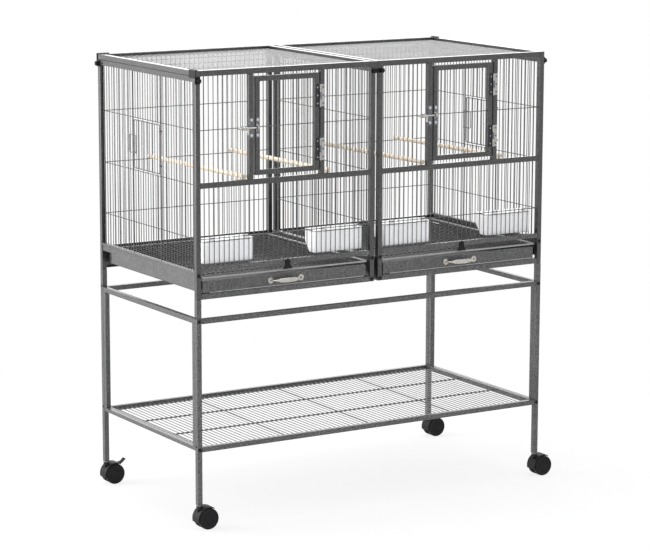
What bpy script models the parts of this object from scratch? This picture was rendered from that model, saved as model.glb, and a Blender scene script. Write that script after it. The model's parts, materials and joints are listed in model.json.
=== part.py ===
"""Double bird cage on a rolling stand, in metres.

X runs to the right, Y to the back and Z up. The pieces are drawn about the centre of
the four corner posts, and the whole is then centred over the origin, on the floor.
Two like cages stand side by side on one stand.
"""

import math

import bmesh
import bpy
from mathutils import Matrix, Vector

# Overall frame
FRAME_WIDTH = 0.960
FRAME_DEPTH = 0.485
STAND_HEIGHT = 0.478
CAGE_HEIGHT = 0.519
CAGE_SPACING = 0.010
TUBE = 0.012
TUBE_WALL = 0.001
SEAT = 0.0003

# Stand
UPPER_RAIL_DROP = 0.044
SHELF_HEIGHT = 0.1355
LOOP_FOOT_BAR = 0.009
SHELF_EDGE = 0.006
SHELF_ROD = 0.0034
SHELF_WIRE_DEPTH = 0.0024
SHELF_LONG_RODS = 2
SHELF_CROSS_RODS = 3

# Casters
WHEEL_RADIUS = 0.025
WHEEL_FACETS = 16
WHEEL_THICKNESS = 0.012
WHEEL_SHOULDER = 0.002
WEB_THICKNESS = 0.009
AXLE_RADIUS = 0.003
CASTER_TRAIL = 0.018
FORK_RISE = 0.008
FENDER_GAP = 0.001
FENDER_WALL = 0.0025
FENDER_START = 60.0
FENDER_END = 195.0
HUB_RADIUS = 0.007
BOSS_RADIUS = 0.006
COLLAR_RADIUS = 0.007
COLLAR_HEIGHT = 0.0032
STEM_RADIUS = 0.0045
STEM_LENGTH = 0.035
LEVER_WIDTH = 0.014
LEVER_LENGTH = 0.018
LEVER_BARREL = 0.0026
LEVER_THICKNESS = 0.0026
LEVER_ANGLE = 25.0

# Wire grilles
WIRE = 0.002
WIRE_PITCH = 0.0129
EDGE_WIRE = 0.0035
WIRE_INSET = 0.0085
RAIL = 0.013
ROW_DROPS = (0.1353, 0.2595, 0.3827)
FOOT_BAR = 0.006
TOP_BAR = 0.005
TOP_CROSS_WIRES = 3

# Base, tray and grate
APRON = 0.051
SHEET = 0.0016
SILL = 0.0136
RUNNER = 0.0185
TRAY_LEFT_GAP = 0.0045
TRAY_RIGHT_GAP = 0.010
TRAY_SETBACK = 0.003
TRAY_BACK_GAP = 0.016
TRAY_HEIGHT = 0.0285
TRAY_HEM = 0.004
GRATE_LIFT = 0.0042
GRATE_SETBACK = 0.0035
GRATE_ROD = 0.005
GRATE_SIDE_GAP = 0.0025
GRATE_CROSS_WIRES = 9

# Front panel and its door
FRONT_RAIL_HEIGHT = 0.0636
FRONT_RAIL = 0.0111
MID_RAIL_HEIGHT = 0.2534
JAMB_OFFSET = 0.137
DOOR_WIDTH = 0.169
DOOR_LATCH_GAP = 0.005
DOOR_HINGE_GAP = 0.003
DOOR_TOP_GAP = 0.006
DOOR_BOTTOM_GAP = 0.008
HINGE_LENGTH = 0.052
HINGE_TOP_INSET = 0.0525
HINGE_FOOT_INSET = 0.0495
HINGE_LEAF = 0.011
LEAF_THICKNESS = 0.0012
KNUCKLE_RADIUS = 0.0026
PIN_RADIUS = 0.0013
PIN_CLEARANCE = 0.0003
KNUCKLE_GAP = 0.0004

# Slide bolt
PLATE_HEIGHT = 0.048
PLATE_WIDTH = 0.011
BOLT_RADIUS = 0.0024
BOLT_LENGTH = 0.047
BOLT_CLEARANCE = 0.0004
BARREL_WALL = 0.0014
BARREL_LENGTH = 0.012
BARREL_OVERHANG = 0.020
STRAP_HEIGHT = 0.009
KEEPER_LENGTH = 0.006
KEEPER_CLEARANCE = 0.0013
BOLT_TAB_LENGTH = 0.016
BOLT_TAB_WIDTH = 0.004

# Tray handle and stop catch
HANDLE_SPAN = 0.081
HANDLE_REACH = 0.019
HANDLE_HALF_HEIGHT = 0.0048
HANDLE_END_HEIGHT = 0.0016
HANDLE_HALF_THICKNESS = 0.0016
ROSETTE_RADIUS = 0.0072
ROSETTE_THICKNESS = 0.0025
CATCH_LENGTH = 0.0165
CATCH_HALF_TOP = 0.0065
CATCH_HALF_FOOT = 0.0125
CATCH_THICKNESS = 0.0035

# Inside the cages
FEEDER_WIDTH = 0.132
FEEDER_DEPTH = 0.050
FEEDER_HEIGHT = 0.0525
FEEDER_WALL = 0.002
FEEDER_TAPER = 0.018
FEEDER_CORNER = 0.008
FEEDER_OFFSETS = (0.090, 0.385)
FEEDER_HOOK = 0.012
PERCH_RADIUS = 0.0055
PERCH_OFFSETS = (0.131, 0.3545)

# Nest doors in the outer sides
NEST_WIDTH = 0.138
NEST_BACK_OFFSET = 0.163
NEST_GAP = 0.003
NEST_HINGE_GAP = 0.0035
NEST_EYE_BORE = 0.0029
NEST_EYE_WALL = 0.0014
NEST_EYE_HEIGHT = 0.005
NEST_EYE_INSET = 0.018
NEST_FRAME = 0.003
NEST_LATCH_WIDTH = 0.033
NEST_LATCH_HEIGHT = 0.044
NEST_LATCH_WIRE = 0.0022

# Plastic corner clips
CLIP_WALL = 0.0025
CLIP_DROP = 0.030
CLIP_REACH = 0.026
KNOB_RADIUS = 0.0055
KNOB_LENGTH = 0.007

# Places worked out from the sizes
LEFT = -FRAME_WIDTH / 2
RIGHT = FRAME_WIDTH / 2
FRONT = -FRAME_DEPTH / 2
BACK = FRAME_DEPTH / 2
FOOT_Z = 2 * WHEEL_RADIUS + FORK_RISE
BASE_Z = FOOT_Z + STAND_HEIGHT
TOP_Z = BASE_Z + CAGE_HEIGHT
SHELF_Z = FOOT_Z + SHELF_HEIGHT
UPPER_RAIL_Z = BASE_Z - UPPER_RAIL_DROP
CAGE_WIDTH = (FRAME_WIDTH - CAGE_SPACING) / 2
CAGES = {"left": LEFT, "right": RIGHT - CAGE_WIDTH}
SILL_Z = BASE_Z + SILL
TRAY_Z = SILL_Z + SEAT
TRAY_TOP_Z = TRAY_Z + TRAY_HEIGHT
GRATE_Z = TRAY_TOP_Z + GRATE_LIFT
ROWS = tuple(TOP_Z - drop for drop in ROW_DROPS)
BOLT_TRAVEL = DOOR_LATCH_GAP + KEEPER_LENGTH + SEAT

# Which panel plane each builder works in: its axes across, up and through
FACING_FRONT = "xzy"
FACING_SIDE = "yzx"
FACING_UP = "xyz"

for old in list(bpy.data.objects):
    bpy.data.objects.remove(old)


def finish(name, colour, roughness, metallic):
    """A plain shader with the piece's colour."""
    made = bpy.data.materials.new(name)
    made.use_nodes = True
    shader = made.node_tree.nodes["Principled BSDF"]
    shader.inputs["Base Color"].default_value = (*colour, 1.0)
    shader.inputs["Roughness"].default_value = roughness
    shader.inputs["Metallic"].default_value = metallic
    return made


COAT = finish("hammered_coat", (0.055, 0.056, 0.060), 0.45, 0.6)
NICKEL = finish("nickel", (0.78, 0.76, 0.72), 0.25, 1.0)
BLACK = finish("black_plastic", (0.015, 0.015, 0.016), 0.5, 0.0)
WHITE = finish("white_plastic", (0.86, 0.86, 0.85), 0.35, 0.0)
WOOD = finish("pale_wood", (0.72, 0.55, 0.38), 0.6, 0.0)


def point(facing, across, up, through):
    """A point given in a panel's own plane."""
    place = dict(zip(facing, (across, up, through)))
    return Vector((place["x"], place["y"], place["z"]))


def block(bm, low, high):
    """A box between two corners."""
    size = Vector(high) - Vector(low)
    middle = (Vector(high) + Vector(low)) / 2
    bmesh.ops.create_cube(bm, size=1, matrix=Matrix.Translation(middle) @ Matrix.Diagonal((*size, 1)))


def plate(bm, facing, across, up, through):
    """A box given by its ranges in a panel's plane."""
    low = point(facing, across[0], up[0], through[0])
    high = point(facing, across[1], up[1], through[1])
    block(bm, low, high)


def windowed(bm, facing, across, up, through, filled):
    """A flat frame: the filled cells of a grid, extruded through the panel."""
    corners = {}
    for i, a in enumerate(across):
        for j, b in enumerate(up):
            corners[i, j] = point(facing, a, b, through[0])
    verts = {}
    faces = []
    for i in range(len(across) - 1):
        for j in range(len(up) - 1):
            if not filled(i, j):
                continue
            cell = []
            for key in ((i, j), (i + 1, j), (i + 1, j + 1), (i, j + 1)):
                if key not in verts:
                    verts[key] = bm.verts.new(corners[key])
                cell.append(verts[key])
            faces.append(bm.faces.new(cell))
    swept = bmesh.ops.extrude_face_region(bm, geom=faces, use_keep_orig=True)
    moved = [item for item in swept["geom"] if isinstance(item, bmesh.types.BMVert)]
    shift = point(facing, 0, 0, through[1] - through[0])
    bmesh.ops.translate(bm, vec=shift, verts=moved)


def ring(bm, facing, across, up, through, member_across, member_up):
    """A rectangular frame with one window."""
    columns = (across[0], across[0] + member_across, across[1] - member_across, across[1])
    lines = (up[0], up[0] + member_up, up[1] - member_up, up[1])
    windowed(bm, facing, columns, lines, through, lambda i, j: (i, j) != (1, 1))


def prism(bm, outline, facing, through):
    """An outline extruded through a panel's plane."""
    near = [bm.verts.new(point(facing, a, b, through[0])) for a, b in outline]
    far = [bm.verts.new(point(facing, a, b, through[1])) for a, b in outline]
    bm.faces.new(near)
    bm.faces.new(reversed(far))
    for i in range(len(outline)):
        j = (i + 1) % len(outline)
        bm.faces.new((near[i], near[j], far[j], far[i]))


def loft(bm, rings):
    """A skin over a row of rings with as many points each, capped at both ends."""
    rows = [[bm.verts.new(place) for place in row] for row in rings]
    bm.faces.new(rows[0])
    bm.faces.new(reversed(rows[-1]))
    for first, second in zip(rows, rows[1:]):
        for i in range(len(first)):
            j = (i + 1) % len(first)
            bm.faces.new((first[i], first[j], second[j], second[i]))


def turned(bm, profile, centre, axis, facets, phase=0.0):
    """A turned solid. The profile runs along the axis as pairs of distance and radius."""
    spin = Vector(axis).to_track_quat("Z", "Y").to_matrix()
    rings = []
    for along, radius in profile:
        row = []
        for i in range(facets):
            angle = 2 * math.pi * (i + phase) / facets
            row.append(Vector(centre) + spin @ Vector((radius * math.cos(angle), radius * math.sin(angle), along)))
        rings.append(row)
    loft(bm, rings)


def rod(bm, start, end, radius, facets=10):
    """A round bar between two points."""
    axis = Vector(end) - Vector(start)
    turned(bm, ((0, radius), (axis.length, radius)), start, axis, facets)


def rounded(width, depth, radius, steps=2):
    """The outline of a rectangle with round corners, centred on zero."""
    outline = []
    for turn, (sx, sy) in enumerate(((1, 1), (-1, 1), (-1, -1), (1, -1))):
        for step in range(steps + 1):
            angle = math.pi / 2 * (turn + step / steps)
            across = sx * (width / 2 - radius) + radius * math.cos(angle)
            along = sy * (depth / 2 - radius) + radius * math.sin(angle)
            outline.append((across, along))
    return outline


def arc(centre, radius, start, end, steps):
    """Points on an arc, with its angles in degrees."""
    found = []
    for step in range(steps + 1):
        angle = math.radians(start + (end - start) * step / steps)
        found.append((centre[0] + radius * math.cos(angle), centre[1] + radius * math.sin(angle)))
    return found


def spread(low, high, pitch=WIRE_PITCH):
    """Even places between two ends, near the pitch and clear of both ends."""
    spaces = max(1, round((high - low) / pitch))
    return [low + (high - low) * i / spaces for i in range(1, spaces)]


def to_object(name, bm, origin):
    bmesh.ops.recalc_face_normals(bm, faces=bm.faces)
    bmesh.ops.translate(bm, vec=-Vector(origin), verts=bm.verts)
    mesh = bpy.data.meshes.new(name)
    bm.to_mesh(mesh)
    bm.free()
    made = bpy.data.objects.new(name, mesh)
    bpy.context.scene.collection.objects.link(made)
    return made


def piece(name, draw, look, origin=(0, 0, 0), parent=None, smooth=False):
    """A sub-part with its origin where asked, drawn in world coordinates."""
    bm = bmesh.new()
    draw(bm)
    made = to_object(name, bm, origin)
    made.data.materials.append(look)
    if smooth:
        made.data.shade_smooth()
        made.data.set_sharp_from_angle(angle=math.radians(35))
    made.location = origin
    if parent:
        made.parent = parent
        made.location = Vector(origin) - parent.location
    return made


def combine(target, draw, label, operation="UNION"):
    """Joins a shape to a sub-part, or cuts it away."""
    bm = bmesh.new()
    draw(bm)
    centre = Vector(target.location)
    if target.parent:
        centre += target.parent.location
    helper = to_object(f"{target.name}_{label}", bm, centre)
    helper.location = centre
    helper.hide_render = True
    helper.display_type = "WIRE"
    change = target.modifiers.new(label, "BOOLEAN")
    change.operation = operation
    change.solver = "EXACT"
    change.object = helper


def three_sided(place, through, thickness):
    """A wire's section, as wide and as deep as the wire is thick."""
    half = thickness / 2
    return ((place - half, through - half), (place + half, through - half), (place, through + half))


def wires(facing, places, ends, through, thickness):
    """Draws straight wires up a panel."""

    def draw(bm):
        for place in places:
            prism(bm, three_sided(place, through, thickness), facing[0] + facing[2] + facing[1], ends)

    return draw


def rows(facing, ends, places, through, thickness):
    """Draws straight wires across a panel."""

    def draw(bm):
        for place in places:
            prism(bm, three_sided(place, through, thickness), facing[1] + facing[2] + facing[0], ends)

    return draw


def stand():
    """Posts, side loops, cross rails and the shelf."""
    inner = (FRONT + TUBE + SEAT, BACK - TUBE - SEAT)
    between = (LEFT + TUBE + SEAT, RIGHT - TUBE - SEAT)
    for depth_name, y in (("front", FRONT), ("back", BACK - TUBE)):
        for side_name, x in (("left", LEFT), ("right", RIGHT - TUBE)):

            def draw_post(bm, x=x, y=y):
                ring(bm, FACING_UP, (x, x + TUBE), (y, y + TUBE), (FOOT_Z, BASE_Z), TUBE_WALL, TUBE_WALL)

            piece(f"stand_post_{depth_name}_{side_name}", draw_post, COAT)

        def draw_rail(bm, y=y):
            block(bm, (between[0], y, UPPER_RAIL_Z - TUBE), (between[1], y + TUBE, UPPER_RAIL_Z))

        piece(f"{depth_name}_cross_rail", draw_rail, COAT)

    for side_name, x in (("left", LEFT), ("right", RIGHT - TUBE)):

        def draw_loop(bm, x=x):
            columns = (inner[0], inner[0] + TUBE, inner[1] - TUBE, inner[1])
            lines = (SHELF_Z - LOOP_FOOT_BAR, SHELF_Z, UPPER_RAIL_Z - TUBE, UPPER_RAIL_Z)
            windowed(bm, FACING_SIDE, columns, lines, (x, x + TUBE), lambda i, j: (i, j) != (1, 1))

        piece(f"side_loop_{side_name}", draw_loop, COAT)
    storage_shelf(inner, between)


def storage_shelf(inner, between):
    """A tube at the front and back, with wires front to back over two long rods."""

    def draw_frame(bm):
        columns = (between[0], between[0] + SHELF_EDGE, between[1] - SHELF_EDGE, between[1])
        lines = (FRONT, FRONT + TUBE, BACK - TUBE, BACK)
        windowed(bm, FACING_UP, columns, lines, (SHELF_Z - TUBE, SHELF_Z), lambda i, j: (i, j) != (1, 1))

    shelf = piece("storage_shelf", draw_frame, COAT)
    rod_z = SHELF_Z - SHELF_WIRE_DEPTH
    low_rod_z = rod_z - SHELF_ROD - SEAT
    thick = spread(between[0], between[1], (between[1] - between[0]) / (SHELF_CROSS_RODS + 1))
    fine = []
    for low, high in zip([between[0] + SHELF_EDGE] + thick, thick + [between[1] - SHELF_EDGE]):
        fine += spread(low, high)
    ends = (inner[0] - TUBE / 2, inner[1] + TUBE / 2)
    combine(shelf, wires(FACING_UP, thick, ends, rod_z, SHELF_ROD), "cross_rods")
    combine(shelf, wires(FACING_UP, fine, ends, rod_z, WIRE), "wires")
    long_rods = spread(inner[0], inner[1], (inner[1] - inner[0]) / (SHELF_LONG_RODS + 1))
    long_ends = (between[0] + SHELF_EDGE / 2, between[1] - SHELF_EDGE / 2)
    combine(shelf, rows(FACING_UP, long_ends, long_rods, low_rod_z, SHELF_ROD), "long_rods")


def caster(name, x, y, braked):
    """A twin wheel under a hood that swivels on its stem, trailing to the right."""
    axle = (x + CASTER_TRAIL, WHEEL_RADIUS)
    fender_inner = WHEEL_RADIUS + FENDER_GAP
    fender_outer = fender_inner + FENDER_WALL
    half_width = WEB_THICKNESS / 2 + WHEEL_THICKNESS
    half_web = WEB_THICKNESS / 2 - SEAT
    collar_z = FOOT_Z - SEAT - COLLAR_HEIGHT
    column_foot = WHEEL_RADIUS + fender_inner / 2

    def draw_fender(bm):
        outline = arc(axle, fender_outer, FENDER_START, FENDER_END, 7)
        outline += arc(axle, fender_inner, FENDER_END, FENDER_START, 7)
        prism(bm, outline, FACING_FRONT, (y - half_width, y + half_width))

    def draw_web(bm):
        outline = arc(axle, (fender_inner + fender_outer) / 2, FENDER_START + 1, FENDER_END - 1, 7)
        outline += arc(axle, HUB_RADIUS, FENDER_END, FENDER_START + 360, 5)
        prism(bm, outline, FACING_FRONT, (y - half_web, y + half_web))

    def draw_column(bm):
        block(bm, (x - BOSS_RADIUS, y - half_web + SEAT, column_foot), (x + BOSS_RADIUS, y + half_web - SEAT, collar_z))

    def draw_stem(bm):
        boss_z = WHEEL_RADIUS + math.sqrt(fender_inner**2 - (CASTER_TRAIL - BOSS_RADIUS) ** 2) + SEAT
        profile = (
            (boss_z, BOSS_RADIUS),
            (collar_z, BOSS_RADIUS),
            (collar_z, COLLAR_RADIUS),
            (collar_z + COLLAR_HEIGHT, COLLAR_RADIUS),
            (collar_z + COLLAR_HEIGHT, STEM_RADIUS),
            (FOOT_Z + STEM_LENGTH, STEM_RADIUS),
        )
        turned(bm, profile, (x, y, 0), (0, 0, 1), 10)

    hood = piece(f"caster_hood_{name}", draw_fender, BLACK, origin=(x, y, FOOT_Z), smooth=True)
    combine(hood, draw_web, "web")
    combine(hood, draw_column, "column")
    combine(hood, draw_stem, "stem")

    def draw_bore(bm):
        reach = half_width + SEAT
        rod(bm, (axle[0], y - reach, axle[1]), (axle[0], y + reach, axle[1]), AXLE_RADIUS + SEAT, 8)

    combine(hood, draw_bore, "axle_bore", "DIFFERENCE")

    def draw_wheels(bm):
        flat = WHEEL_RADIUS / math.cos(math.pi / WHEEL_FACETS)
        inner_face = WEB_THICKNESS / 2
        profile = (
            (-half_width, flat - 2 * WHEEL_SHOULDER),
            (-half_width + WHEEL_SHOULDER, flat),
            (-inner_face, flat),
            (-inner_face, AXLE_RADIUS),
            (inner_face, AXLE_RADIUS),
            (inner_face, flat),
            (half_width - WHEEL_SHOULDER, flat),
            (half_width, flat - 2 * WHEEL_SHOULDER),
        )
        turned(bm, profile, (axle[0], y, axle[1]), (0, 1, 0), WHEEL_FACETS, 0.5)

    piece(f"caster_wheels_{name}", draw_wheels, BLACK, (axle[0], y, axle[1]), hood, smooth=True)
    if braked:
        brake_lever(name, axle, y, fender_outer, hood)


def brake_lever(name, axle, y, fender_outer, hood):
    """A foot lever on the trailing end of the hood."""
    reach = fender_outer + SEAT
    turn = math.degrees(math.asin((LEVER_BARREL + SEAT) / reach))
    angle = math.radians(FENDER_START - turn)
    pivot = (axle[0] + reach * math.cos(angle), axle[1] + reach * math.sin(angle))
    along = Vector((math.cos(math.radians(LEVER_ANGLE)), math.sin(math.radians(LEVER_ANGLE))))
    side = Vector((-along.y, along.x))

    def draw(bm):
        outline = arc(pivot, LEVER_BARREL, LEVER_ANGLE + 90, LEVER_ANGLE + 270, 6)
        tip = Vector(pivot) + along * LEVER_LENGTH
        lift = side * LEVER_THICKNESS
        for place in (tip - side * LEVER_BARREL + lift / 2, tip + lift * 1.5, tip + lift * 2 - along * LEVER_THICKNESS):
            outline.append(tuple(place))
        outline.append(tuple(Vector(pivot) + along * LEVER_LENGTH * 0.7 + side * LEVER_BARREL))
        prism(bm, outline, FACING_FRONT, (y - LEVER_WIDTH / 2, y + LEVER_WIDTH / 2))

    piece(f"brake_lever_{name}", draw, BLACK, (pivot[0], y, pivot[1]), hood)


def casters():
    for depth_name, y in (("front", FRONT + TUBE / 2), ("back", BACK - TUBE / 2)):
        for side_name, x in (("left", LEFT + TUBE / 2), ("right", RIGHT - TUBE / 2)):
            caster(f"{depth_name}_{side_name}", x, y, depth_name == "back")


def corner_clip(panel, corner, knob_out, side_out):
    """A plastic cap over the top of a corner post, and a thumb screw in its short side."""
    corner, knob_out, side_out = Vector(corner), Vector(knob_out), Vector(side_out)

    def placed(across, along, z):
        flat = corner - side_out * across - knob_out * along
        return Vector((flat.x, flat.y, z))

    a = (-CLIP_WALL, SEAT / 2, TUBE - SEAT)
    b = (-CLIP_WALL, 2 * SEAT, CLIP_REACH)
    c = (TOP_Z + CLIP_WALL, TOP_Z - SEAT, TOP_Z - CLIP_DROP)

    def draw_cap(bm):
        corners = (
            ((0, 0, 0), (2, 0, 0), (2, 2, 0), (0, 2, 0)),
            ((0, 0, 0), (2, 0, 0), (2, 0, 2), (0, 0, 2)),
            ((0, 0, 0), (0, 2, 0), (0, 2, 2), (0, 0, 2)),
            ((0, 0, 2), (2, 0, 2), (2, 1, 2), (1, 1, 2), (1, 2, 2), (0, 2, 2)),
            ((0, 2, 0), (2, 2, 0), (2, 2, 1), (1, 2, 1), (1, 2, 2), (0, 2, 2)),
            ((2, 0, 0), (2, 2, 0), (2, 2, 1), (2, 1, 1), (2, 1, 2), (2, 0, 2)),
            ((1, 1, 1), (2, 1, 1), (2, 2, 1), (1, 2, 1)),
            ((1, 1, 1), (2, 1, 1), (2, 1, 2), (1, 1, 2)),
            ((1, 1, 1), (1, 2, 1), (1, 2, 2), (1, 1, 2)),
        )
        verts = {}
        for face in corners:
            for i, j, k in face:
                if (i, j, k) not in verts:
                    verts[i, j, k] = bm.verts.new(placed(a[i], b[j], c[k]))
            bm.faces.new([verts[key] for key in face])

    def draw_knob(bm):
        height = TOP_Z - CLIP_DROP + 1.4 * KNOB_RADIUS
        start = placed(TUBE / 2, -CLIP_WALL / 2, height)
        rod(bm, start, placed(TUBE / 2, -CLIP_WALL - KNOB_LENGTH, height), KNOB_RADIUS, 8)

    combine(panel, draw_cap, "clip_cap")
    combine(panel, draw_knob, "clip_knob")


def post_plug(panel, x, y):
    """The plug at the foot of a corner post, which stands in the stand's post."""
    inset = TUBE_WALL + SEAT

    def draw(bm):
        low = (x + inset, y + inset, BASE_Z - 2 * TUBE)
        block(bm, low, (x + TUBE - inset, y + TUBE - inset, BASE_Z + TUBE))

    combine(panel, draw, "plug")


def front_panel(name, x0):
    """Two posts, three rails, the door's jambs and the wires."""
    hinge_jamb = JAMB_OFFSET + TUBE + DOOR_LATCH_GAP + DOOR_WIDTH + DOOR_HINGE_GAP
    columns = [0, TUBE, JAMB_OFFSET, JAMB_OFFSET + TUBE, hinge_jamb, hinge_jamb + TUBE, CAGE_WIDTH - TUBE, CAGE_WIDTH]
    columns = [x0 + offset for offset in columns]
    low = BASE_Z + FRONT_RAIL_HEIGHT
    middle = BASE_Z + MID_RAIL_HEIGHT
    lines = (BASE_Z + SEAT, low, low + FRONT_RAIL, middle, middle + RAIL, TOP_Z - RAIL, TOP_Z)

    def filled(i, j):
        post = i in (0, 6)
        rail = j in (1, 3, 5)
        jamb = i in (2, 4) and j == 4
        return post or rail or jamb

    def draw_frame(bm):
        windowed(bm, FACING_FRONT, columns, lines, (FRONT, FRONT + TUBE), filled)

    panel = piece(f"front_panel_{name}", draw_frame, COAT)
    through = FRONT + WIRE_INSET
    behind = through + WIRE + SEAT
    bite = RAIL / 2
    lower = (lines[2] - FRONT_RAIL / 2, lines[3] + bite)
    upper = (lines[4] - bite, lines[5] + bite)
    beside = spread(columns[1], columns[2]) + spread(columns[5], columns[6])
    combine(panel, wires(FACING_FRONT, spread(columns[1], columns[6]), lower, through, WIRE), "lower_wires")
    combine(panel, wires(FACING_FRONT, beside, upper, through, WIRE), "upper_wires")
    half = TUBE / 2
    for label, start, end, row in (
        ("left_row", columns[1], columns[2], ROWS[0]),
        ("right_row", columns[5], columns[6], ROWS[0]),
        ("feeder_row", columns[1], columns[6], ROWS[2]),
    ):
        combine(panel, rows(FACING_FRONT, (start - half, end + half), (row,), behind, WIRE), label)
    if name == "left":
        corner_clip(panel, (LEFT, FRONT), (0, -1), (-1, 0))
        post_plug(panel, LEFT, FRONT)
    else:
        corner_clip(panel, (RIGHT, FRONT), (1, 0), (0, -1))
        post_plug(panel, RIGHT - TUBE, FRONT)
    return panel


def back_panel(name, x0):
    """Two posts, a rail at the top and the foot, and the wires."""
    columns = [x0, x0 + TUBE, x0 + CAGE_WIDTH - TUBE, x0 + CAGE_WIDTH]
    foot = BASE_Z + APRON + SEAT
    lines = (BASE_Z + SEAT, foot, foot + FOOT_BAR, TOP_Z - RAIL, TOP_Z)

    def draw_frame(bm):
        windowed(bm, FACING_FRONT, columns, lines, (BACK - TUBE, BACK), lambda i, j: i != 1 or j in (1, 3))

    panel = piece(f"back_panel_{name}", draw_frame, COAT)
    through = BACK - WIRE_INSET
    behind = through - WIRE - SEAT
    ends = (foot + FOOT_BAR / 2, TOP_Z - RAIL / 2)
    combine(panel, wires(FACING_FRONT, spread(columns[1], columns[2]), ends, through, WIRE), "wires")
    across = (columns[1] - TUBE / 2, columns[2] + TUBE / 2)
    combine(panel, rows(FACING_FRONT, across, ROWS, behind, WIRE), "rows")
    if name == "left":
        corner_clip(panel, (LEFT, BACK), (-1, 0), (0, 1))
        post_plug(panel, LEFT, BACK - TUBE)
    else:
        corner_clip(panel, (RIGHT, BACK), (0, 1), (1, 0))
        post_plug(panel, RIGHT - TUBE, BACK - TUBE)
    return panel


def side_grille(name, outer_x, inward, width, nest_opening):
    """A grille between a front and a back post. The nest opening is a range of Y, or None."""
    ends = (FRONT + TUBE + SEAT, BACK - TUBE - SEAT)
    foot = BASE_Z + APRON + SEAT
    head = (TOP_Z - 2 * RAIL, TOP_Z - RAIL - SEAT)
    tube_x = sorted((outer_x, outer_x + inward * width))
    through = outer_x + inward * (WIRE_INSET - SEAT)
    behind = through + inward * (WIRE + SEAT)

    def draw_rails(bm):
        plate(bm, FACING_SIDE, ends, head, tube_x)
        plate(bm, FACING_SIDE, ends, (foot, foot + FOOT_BAR), tube_x)

    panel = piece(name, draw_rails, COAT)
    edges = [ends[0] + EDGE_WIRE, ends[1] - EDGE_WIRE]
    edge_wires = list(edges)
    uprights = (foot + FOOT_BAR / 2, head[0] + RAIL / 2)
    if nest_opening:
        edge_wires += nest_opening
        low, high = nest_opening
        fine = spread(edges[0], low) + spread(high, edges[1])
        short = spread(low, high)
        above = (ROWS[0] - WIRE / 2, uprights[1])
        below = (uprights[0], ROWS[1] + WIRE / 2)
        combine(panel, wires(FACING_SIDE, short, above, through, WIRE), "upper_wires")
        combine(panel, wires(FACING_SIDE, short, below, through, WIRE), "lower_wires")
    else:
        fine = spread(edges[0], edges[1])
    combine(panel, wires(FACING_SIDE, edge_wires, uprights, through, EDGE_WIRE), "edge_wires")
    combine(panel, wires(FACING_SIDE, fine, uprights, through, WIRE), "wires")
    combine(panel, rows(FACING_SIDE, edges, ROWS, behind, WIRE), "rows")
    return panel


def nest_door(name, outer_x, inward, opening):
    """A wire door that turns on the opening's front wire, with a wire latch over the back one."""
    through = outer_x + inward * (WIRE_INSET - SEAT)
    across = (opening[0] + NEST_HINGE_GAP, opening[1] - EDGE_WIRE / 2 - NEST_GAP)
    up = (ROWS[1] + WIRE / 2 + NEST_GAP, ROWS[0] - WIRE / 2 - NEST_GAP)
    half = NEST_FRAME / 2

    def draw_frame(bm):
        ring(bm, FACING_SIDE, across, up, (through - half, through + half), NEST_FRAME, NEST_FRAME)

    door = piece(f"nest_door_{name}", draw_frame, COAT, (through, opening[0], up[0]))
    ends = (up[0] + half, up[1] - half)
    combine(door, wires(FACING_SIDE, spread(across[0], across[1]), ends, through, WIRE), "wires")
    eyes = (up[0] + NEST_EYE_INSET, up[1] - NEST_EYE_INSET)

    def draw_eyes(bm):
        for z in eyes:
            rod(bm, (through, opening[0], z), (through, opening[0], z + NEST_EYE_HEIGHT), NEST_EYE_BORE + NEST_EYE_WALL)

    def draw_bore(bm):
        rod(bm, (through, opening[0], up[0]), (through, opening[0], up[1]), NEST_EYE_BORE)

    combine(door, draw_eyes, "eyes")
    combine(door, draw_bore, "bore", "DIFFERENCE")
    outside = through - inward * (EDGE_WIRE / 2 + SEAT + NEST_LATCH_WIRE / 2)
    middle = sum(up) / 2
    latch_up = (middle - NEST_LATCH_HEIGHT / 2, middle + NEST_LATCH_HEIGHT / 2)
    latch_across = (across[1] - NEST_LATCH_WIDTH / 2, across[1] + NEST_LATCH_WIDTH / 2)
    latch_half = NEST_LATCH_WIRE / 2

    def draw_latch(bm):
        span = (outside - latch_half, outside + latch_half)
        ring(bm, FACING_SIDE, latch_across, latch_up, span, NEST_LATCH_WIRE, NEST_LATCH_WIRE)

    def draw_feet(bm):
        span = sorted((outside, through))
        for place in (latch_up[0] + latch_half, latch_up[1] - latch_half):
            foot = (place - latch_half + SEAT / 2, place + latch_half - SEAT / 2)
            plate(bm, FACING_SIDE, (across[1] - NEST_FRAME + SEAT, across[1] - SEAT), foot, span)

    combine(door, draw_latch, "latch_loop")
    combine(door, draw_feet, "latch_feet")


def top_panel(name, x0):
    """A tube down each side, a bar at the front and back, and wires front to back."""
    across = (x0 + SEAT, x0 + CAGE_WIDTH - SEAT)
    along = (FRONT + TUBE + SEAT, BACK - TUBE - SEAT)
    up = (TOP_Z - RAIL, TOP_Z - 2 * SEAT)
    side = TUBE - SEAT

    def draw_frame(bm):
        ring(bm, FACING_UP, across, along, up, side, TOP_BAR)

    panel = piece(f"top_panel_{name}", draw_frame, COAT)
    through = sum(up) / 2
    places = spread(across[0] + side, across[1] - side)
    ends = (along[0] + TOP_BAR / 2, along[1] - TOP_BAR / 2)
    combine(panel, wires(FACING_UP, places, ends, through, WIRE), "wires")
    crossing = spread(along[0], along[1], (along[1] - along[0]) / (TOP_CROSS_WIRES + 1))
    row_ends = (across[0] + side / 2, across[1] - side / 2)
    combine(panel, rows(FACING_UP, row_ends, crossing, through - WIRE - SEAT, WIRE), "rows")


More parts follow.
